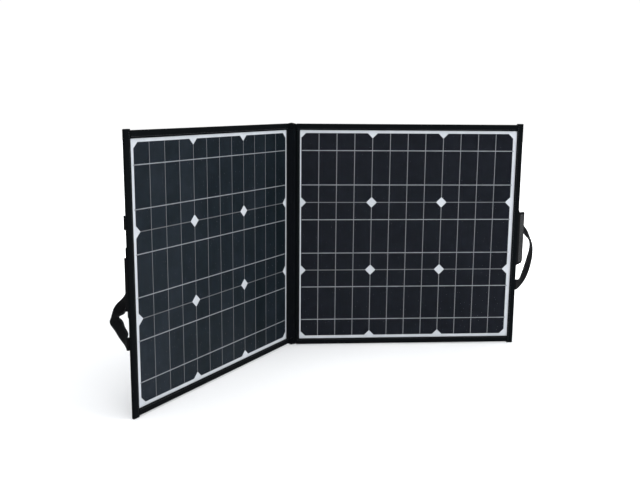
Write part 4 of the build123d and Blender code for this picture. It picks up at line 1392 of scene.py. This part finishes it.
def spine_end(name, up, top):
    """Tape closed over one end of the spine, with a notch in its middle."""
    heights = [243.4, 244.2, 246.0, 249.0, 252.0, 255.0, 257.0]
    heights += [top - e for e in (1.6, 1.0, 0.5, 0.15, 0.0)]
    rings = []
    for height in heights:
        ring = spine_ring(up * height, grow=0.35 if height > 244 else 0.2, wobble=0.1,
                          shrink=0.8 * (1 - dome((top - height) / 1.6)))
        climb = max(0.0, (height - 249.0) / (top - 249.0))
        for i, point in enumerate(ring):
            x = (point - SPINE.origin).dot(SPINE.out) / MM
            drop = climb * 2.1 * MM * (1 - math.exp(-(x / 4.6) ** 2))
            ring[i] = point - UP * (up * drop)
        rings.append(ring)
    tape = sweep(f"spine_{name}_end_tape", BORDER, rings, heights, caps=False)

    def close_end(shell):
        shell.verts.ensure_lookup_table()
        count = len(rings[0])
        start = (len(rings) - 1) * count
        for i in range(count // 2 - 1):
            shell.faces.new([shell.verts[start + c]
                             for c in (i, i + 1, count - 2 - i, count - 1 - i)])
    face_outward(tape.data, close_end)
    thicken(tape, 0.42)
    attach(tape, "spine", "border_fabric", "spine_end_bindings")


def spine_stitching():
    runs = []
    for x in (-6.9, 6.9):
        for z, normal in SPINE.faces(3.12, -0.12):
            runs.append(seam(lambda t: SPINE.at(x, t, z), -242, 242, normal))
    for up in (1, -1):
        for z, normal in SPINE.faces(3.14, -0.14):
            runs.append(seam(lambda t: SPINE.at(t, up * SEAM_HEIGHT, z), -8.6, 8.6, normal))
    thread = stitches("spine_stitching", THREAD, runs, pitch=4.2, length=3.2, radius=0.32)
    attach(thread, "spine", "border_fabric")


spine_cover()
spine_end("upper", 1, 259.6)
spine_end("lower", -1, 260.0)
spine_stitching()

# ---------------------------------------------------------------- pouch on the right panel's back
POUCH_X, POUCH_Y = (262.8, 461.2), (-204.2, -45.8)
POUCH_DEEP = 21.6
POUCH_CORNER = 11.5
POUCH_RIM = 5.0          # rounding between face and walls
ZIP_X, ZIP_Y = (272.0, 452.0), -58.0
ZIP_HALF = 5.5           # half height of the zip's slot
BACK = Vector((0, 1, 0))


def pouch_shell():
    """Open-fronted shell: face with a zip slot, rounded rim, walls. Returns vertices (x, y,
    depth back), faces, uvs, the ids of the foot, of the slot's edge and of the rim line."""
    xs = edge_list(POUCH_X[0] + POUCH_RIM, POUCH_X[1] - POUCH_RIM, 4.6, (0.0, 2.2), ZIP_X)
    ys = edge_list(POUCH_Y[0] + POUCH_RIM, POUCH_Y[1] - POUCH_RIM, 4.6, (0.0, 2.2),
                   (ZIP_Y - ZIP_HALF, ZIP_Y + ZIP_HALF, ZIP_Y - 8.0, ZIP_Y + 8.0))
    last_x, last_y = len(xs) - 1, len(ys) - 1
    face_box = (xs[0], xs[-1], ys[0], ys[-1])
    verts, ids = [], {}
    for j, y in enumerate(ys):
        for i, x in enumerate(xs):
            px, py, _ = round_corner(x, y, face_box, (POUCH_CORNER - POUCH_RIM,) * 4)
            ids[i, j] = len(verts)
            verts.append((px, py, POUCH_DEEP))
    faces, uvs, slot = [], [], set()
    for j in range(last_y):
        for i in range(last_x):
            x, y = (xs[i] + xs[i + 1]) / 2, (ys[j] + ys[j + 1]) / 2
            quad = [(i, j), (i + 1, j), (i + 1, j + 1), (i, j + 1)]
            if ZIP_X[0] < x < ZIP_X[1] and abs(y - ZIP_Y) < ZIP_HALF:
                slot |= {ids[q] for q in quad}
                continue
            faces.append(tuple(ids[q] for q in quad))
            uvs.append([(xs[a] * MM, ys[b] * MM) for a, b in quad])
    loop = [(i, 0) for i in range(last_x + 1)]
    loop += [(last_x, j) for j in range(1, last_y + 1)]
    loop += [(i, last_y) for i in range(last_x - 1, -1, -1)]
    loop += [(0, j) for j in range(last_y - 1, 0, -1)]
    rows = [[ids[q] for q in loop]]
    base = [verts[v] for v in rows[0]]
    count = len(base)
    outward = [outline_normal(base, k) for k in range(count)]
    girth = [0.0, *accumulate(gap(base[k], base[(k + 1) % count]) * MM for k in range(count))]
    # (reach outward, depth back) down the rim and the wall
    profile = [(POUCH_RIM * math.sin(a), POUCH_DEEP - POUCH_RIM * (1 - math.cos(a)))
               for a in np.radians([30, 60, 90])]
    profile += [(POUCH_RIM, deep) for deep in (12.6, 8.6, 4.6, 0.6)]
    run, before = 0.0, (0.0, POUCH_DEEP)
    for reach, deep in profile:
        end = run + gap((reach, deep), before) * MM
        row = []
        for k in range(count):
            point = Vector(base[k]) + outward[k] * reach
            row.append(len(verts))
            verts.append((point.x, point.y, deep))
        for k in range(count):
            j = (k + 1) % count
            faces.append((rows[-1][k], row[k], row[j], rows[-1][j]))
            uvs.append([(girth[k], run), (girth[k], end), (girth[k + 1], end),
                        (girth[k + 1], run)])
        run, before = end, (reach, deep)
        rows.append(row)
    # leave out the points inside the slot
    used = sorted({v for face in faces for v in face})
    new_id = {v: k for k, v in enumerate(used)}
    return ([verts[v] for v in used], [tuple(new_id[v] for v in face) for face in faces], uvs,
            [new_id[v] for v in rows[-1]], [new_id[v] for v in slot if v in new_id],
            [new_id[v] for v in rows[2]])


def inflate(pouch, start, pinned):
    """Puffs the pouch with a pressurised cloth; returns the new vertex places in metres."""
    pouch.vertex_groups.new(name="pins").add(pinned, 1.0, "REPLACE")
    cloth = pouch.modifiers.new("puff", "CLOTH")
    settings = cloth.settings
    settings.quality = 6
    settings.mass = 0.25
    settings.tension_stiffness = settings.compression_stiffness = 14
    settings.shear_stiffness = 8
    settings.bending_stiffness = 1.2
    settings.use_pressure = True
    settings.uniform_pressure_force = 4.0
    settings.shrink_min = -0.035
    settings.effector_weights.gravity = 0
    settings.vertex_group_mass = "pins"
    cloth.collision_settings.use_collision = False
    cloth.collision_settings.use_self_collision = False
    for number in range(1, 21):
        scene.frame_set(number)
    puffed = pouch.evaluated_get(bpy.context.evaluated_depsgraph_get())
    end = np.array([tuple(v.co) for v in puffed.to_mesh().vertices])
    puffed.to_mesh_clear()
    pouch.modifiers.clear()
    scene.frame_set(1)
    move = end - start
    length = np.linalg.norm(move, axis=1, keepdims=True)
    limit = 5.0 * MM
    move = move * (limit * np.tanh(length / limit) / np.maximum(length, 1e-9))
    # the shell swells only backward, clear of the housings inside
    move[:, 1] = np.maximum(move[:, 1], -0.4 * MM)
    return start + move


def crease(x, y):
    """Unevenness of the pouch, fading towards its edges and its zip."""
    inset = min(x - POUCH_X[0], POUCH_X[1] - x, y - POUCH_Y[0], POUCH_Y[1] - y)
    fade = min(1.0, max(0.0, inset / 14))
    if ZIP_X[0] - 6 < x < ZIP_X[1] + 6:
        fade *= min(1.0, abs(abs(y - ZIP_Y) - ZIP_HALF) / 8)
    return fade * 0.9 * MM * (0.8 * lump(x, y, 2, 30) + 0.35 * lump(x * 1.2, y * 0.6, 11, 12))


def rear_pouch():
    verts, faces, uvs, foot, slot, rim_line = pouch_shell()
    pouch = mesh_object("rear_pouch", [RIGHT.at(x, y, -z) for x, y, z in verts], faces, uvs,
                        CASE, sharp=None)
    # normals must look away from the panel's back
    if sum(p.normal.y * p.area for p in pouch.data.polygons) < 0:
        pouch.data.flip_normals()
    places = np.array([tuple(v.co) for v in pouch.data.vertices])
    pinned = set(foot) | set(slot)
    places = inflate(pouch, places, sorted(pinned))
    for i, (x, y, _) in enumerate(verts):
        if i not in pinned:
            places[i, 1] += crease(x, y)
    pouch.data.vertices.foreach_set("co", places.astype(np.float32).ravel())
    pouch.data.update()
    smooth = pouch.modifiers.new("smooth", "SUBSURF")
    smooth.levels = smooth.render_levels = 1
    pouch.modifiers.new("wall", "SOLIDIFY").thickness = 0.9 * MM
    settle(pouch)
    attach(pouch, "right_panel", "case_fabric", "pouch")
    line = [Vector(places[i]) + BACK * (0.6 * MM) for i in rim_line]
    piping = closed_cord("pouch_piping", CORD, line, radius=1.15, sides=8)
    attach(piping, "right_panel", "case_fabric")


def rounded_outline(box, radius, count, step):
    """Counterclockwise outline of a box (x0, x1, y0, y1), with points about step apart."""
    x0, x1, y0, y1 = box
    points = []
    for x, y, start in ((x1 - radius, y1 - radius, 0), (x0 + radius, y1 - radius, 90),
                        (x0 + radius, y0 + radius, 180), (x1 - radius, y0 + radius, 270)):
        for i in range(count + 1):
            angle = math.radians(start + 90 * i / count)
            points.append((x + radius * math.cos(angle), y + radius * math.sin(angle)))
    dense = []
    for a, b in zip(points, points[1:] + points[:1]):
        parts = max(1, round(gap(a, b) / step))
        dense += [(a[0] + (b[0] - a[0]) * i / parts, a[1] + (b[1] - a[1]) * i / parts)
                  for i in range(parts)]
    return dense


# Section of a flat band: (part from inner to outer outline, part of its height).
BAND = ((0.0, 0.0), (0.06, 0.75), (0.2, 1.0), (0.5, 1.0), (0.8, 1.0), (0.94, 0.75), (1.0, 0.0))


def ring_band(name, material, inner, outer, z0, z1, wobble):
    """Flat closed band between two outlines with the same number of points."""
    count, size = len(inner), len(BAND)
    verts, faces, uvs = [], [], []
    for a, b in zip(inner, outer):
        for part, height in BAND:
            x, y = a[0] + (b[0] - a[0]) * part, a[1] + (b[1] - a[1]) * part
            z = z0 + (z1 - z0) * height + wobble * lump(x, y, 4, 7) * height
            verts.append(RIGHT.at(x, y, z))
    run = 0.0
    for k in range(count):
        j = (k + 1) % count
        end = run + gap(inner[k], inner[j]) * MM
        for q in range(size):
            n = (q + 1) % size
            faces.append((k * size + q, k * size + n, j * size + n, j * size + q))
            uvs.append(box_uv(q * 0.0014, (q + 1) * 0.0014, run, end))
        run = end
    attach(mesh_object(name, verts, faces, uvs, material, sharp=60), "right_panel",
           "case_fabric")


def band_stitching(name, inner, outer, part, z, **thread):
    """Thread round a band, the given part of the way from its inner to its outer outline."""
    line = [RIGHT.at(a[0] * (1 - part) + b[0] * part, a[1] * (1 - part) + b[1] * part, z)
            for a, b in zip(inner, outer)]
    line.append(line[0])
    sewn = stitches(name, THREAD, [(line, [BACK] * len(line))], **thread)
    attach(sewn, "right_panel", "case_fabric")


def pouch_flange():
    """Band round the pouch's foot, sewn to the panel."""
    grow, width = 0.4, 8.5
    box = (POUCH_X[0] - grow, POUCH_X[1] + grow, POUCH_Y[0] - grow, POUCH_Y[1] + grow)
    inner = rounded_outline(box, radius=11.6, count=9, step=5)
    outer = []
    for k, (x, y) in enumerate(inner):
        normal = outline_normal(inner, k)
        outer.append((x + normal.x * width, y + normal.y * width))
    ring_band("pouch_flange", CASE, inner, outer, z0=-0.12, z1=-1.1, wobble=0.12)
    band_stitching("pouch_flange_stitching", inner, outer, part=0.55, z=-1.02, pitch=3.6,
                   length=2.8, radius=0.3, sink=0.05)


def zip_facing():
    """Tape round the zip's slot."""
    inner = rounded_outline((*ZIP_X, ZIP_Y - 5.4, ZIP_Y + 5.4), radius=1.2, count=3, step=6)
    outer = []
    for x, y in inner:
        shift_x = -5 if x < ZIP_X[0] + 1.3 else 5 if x > ZIP_X[1] - 1.3 else 0
        shift_y = 4.6 if y > ZIP_Y + 4 else -4.6 if y < ZIP_Y - 4 else 0
        outer.append((x + shift_x, y + shift_y))
    ring_band("zip_facing", BORDER, inner, outer, z0=-21.5, z1=-22.5, wobble=0.08)
    band_stitching("zip_facing_stitching", inner, outer, part=0.5, z=-22.45, pitch=3.0,
                   length=2.3, radius=0.25, sink=0.04)


def zip_tapes():
    for name, offset in (("upper", 4.9), ("lower", -4.9)):
        tape = pad(f"zip_{name}_tape", ZIP_TAPE,
                   lambda x, y, z: RIGHT.at(y, ZIP_Y + offset + x, -20.45 + z),
                   (-2.2, 2.2, *ZIP_X), half_thick=0.28, step=2.0, fine=(0.0, 0.3, 0.8))
        attach(tape, "right_panel", "zip_tape", "zip_tape")


rear_pouch()
pouch_flange()
zip_facing()
zip_tapes()


# ---------------------------------------------------------------- floor, light and camera (metres)
def studio_floor():
    """White floor that glows to the camera, more so away from the middle."""
    mesh = bpy.data.meshes.new("studio_floor")
    mesh.from_pydata([(-9, -9, 0), (9, -9, 0), (9, 9, 0), (-9, 9, 0)], [], [(0, 1, 2, 3)])
    shader = Shader("studio_floor")
    x, y, _ = shader.split(shader.coords())
    away = (x * x + y * y).apply("SQRT")
    glow = away.apply("SUBTRACT", 0.55, clamp=True).apply("MULTIPLY", 1.6, clamp=True)
    seen = shader.out(shader.add("LightPath"), "Is Camera Ray")
    material = shader.finish(
        Base_Color=shader.ramp(shader.noise(shader.coords(), scale=3.0),
                               (0.3, (0.90, 0.90, 0.90, 1)), (0.7, (0.92, 0.92, 0.92, 1))),
        Roughness=0.85, Specular_IOR_Level=0.1,
        Emission_Color=(1, 1, 1, 1), Emission_Strength=seen * (0.12 + glow * 0.9))
    floor = add_object("studio_floor", mesh, material)
    floor.location.z = -0.0004
    floor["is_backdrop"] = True


def studio_world():
    """White to the camera, a softer bluish light to everything else."""
    world = bpy.data.worlds.new("studio")
    scene.world = world
    world.use_nodes = True
    tree = world.node_tree
    tree.nodes.clear()
    output = tree.nodes.new("ShaderNodeOutputWorld")
    path = tree.nodes.new("ShaderNodeLightPath")
    mix = tree.nodes.new("ShaderNodeMixShader")
    tree.links.new(path.outputs["Is Camera Ray"], mix.inputs[0])
    for slot, colour, strength in ((1, (0.93, 0.96, 1.0, 1), 0.62), (2, (1, 1, 1, 1), 1.02)):
        node = tree.nodes.new("ShaderNodeBackground")
        node.inputs["Color"].default_value = colour
        node.inputs["Strength"].default_value = strength
        tree.links.new(node.outputs[0], mix.inputs[slot])
    tree.links.new(mix.outputs[0], output.inputs[0])


def softbox(name, place, target, size, power, colour=(1, 1, 1)):
    data = bpy.data.lights.new(name, "AREA")
    data.shape = "RECTANGLE"
    data.size, data.size_y = size
    data.energy, data.color = power, colour
    obj = bpy.data.objects.new(name, data)
    obj.location = place
    aim = Vector(target) - Vector(place)
    obj.rotation_euler = aim.to_track_quat("-Z", "Y").to_euler()
    scene.collection.objects.link(obj)


def studio_camera():
    data = bpy.data.cameras.new("camera")
    camera = bpy.data.objects.new("camera", data)
    scene.collection.objects.link(camera)
    place = (-0.06665, -1.80497, 0.57443)
    forward = Vector((0.0724, 0.98171, -0.17606)).normalized()
    right = Vector((0.99737, -0.07201, 0.0086)).normalized()
    up = right.cross(forward).normalized()
    right = forward.cross(up).normalized()
    rows = [(right[i], up[i], -forward[i], place[i]) for i in range(3)]
    camera.matrix_world = Matrix((*rows, (0, 0, 0, 1)))
    data.sensor_fit, data.sensor_width, data.lens = "HORIZONTAL", 36.0, 44.63
    data.clip_start, data.clip_end = 0.05, 60
    scene.camera = camera


studio_floor()
studio_world()
softbox("overhead_softbox", place=(0.2, -0.5, 2.6), target=(0, -0.1, 0.2), size=(2.6, 2.2),
        power=42)
softbox("front_fill", place=(0.5, -2.8, 1.5), target=(0, 0, 0.3), size=(2.0, 1.6), power=16)
softbox("side_fill", place=(1.9, -0.9, 1.1), target=(-0.2, -0.1, 0.25), size=(1.4, 1.6),
        power=14, colour=(0.93, 0.97, 1.0))
softbox("rear_fill", place=(0.4, 2.6, 1.6), target=(0, 0, 0.25), size=(2.0, 1.6), power=16)
studio_camera()
scene.view_settings.view_transform = "Standard"
scene.view_settings.look = "None"
scene.view_settings.exposure = 0.0

# CAD pieces that still have no material get the case fabric
for obj in scene.objects:
    if obj.type == "MESH" and not obj.data.materials:
        obj.data.materials.append(CASE)

visual_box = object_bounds()
({name: [[float(c) for c in point] for point in box]
           for name, box in (("cad", cad_box), ("visual", visual_box))})
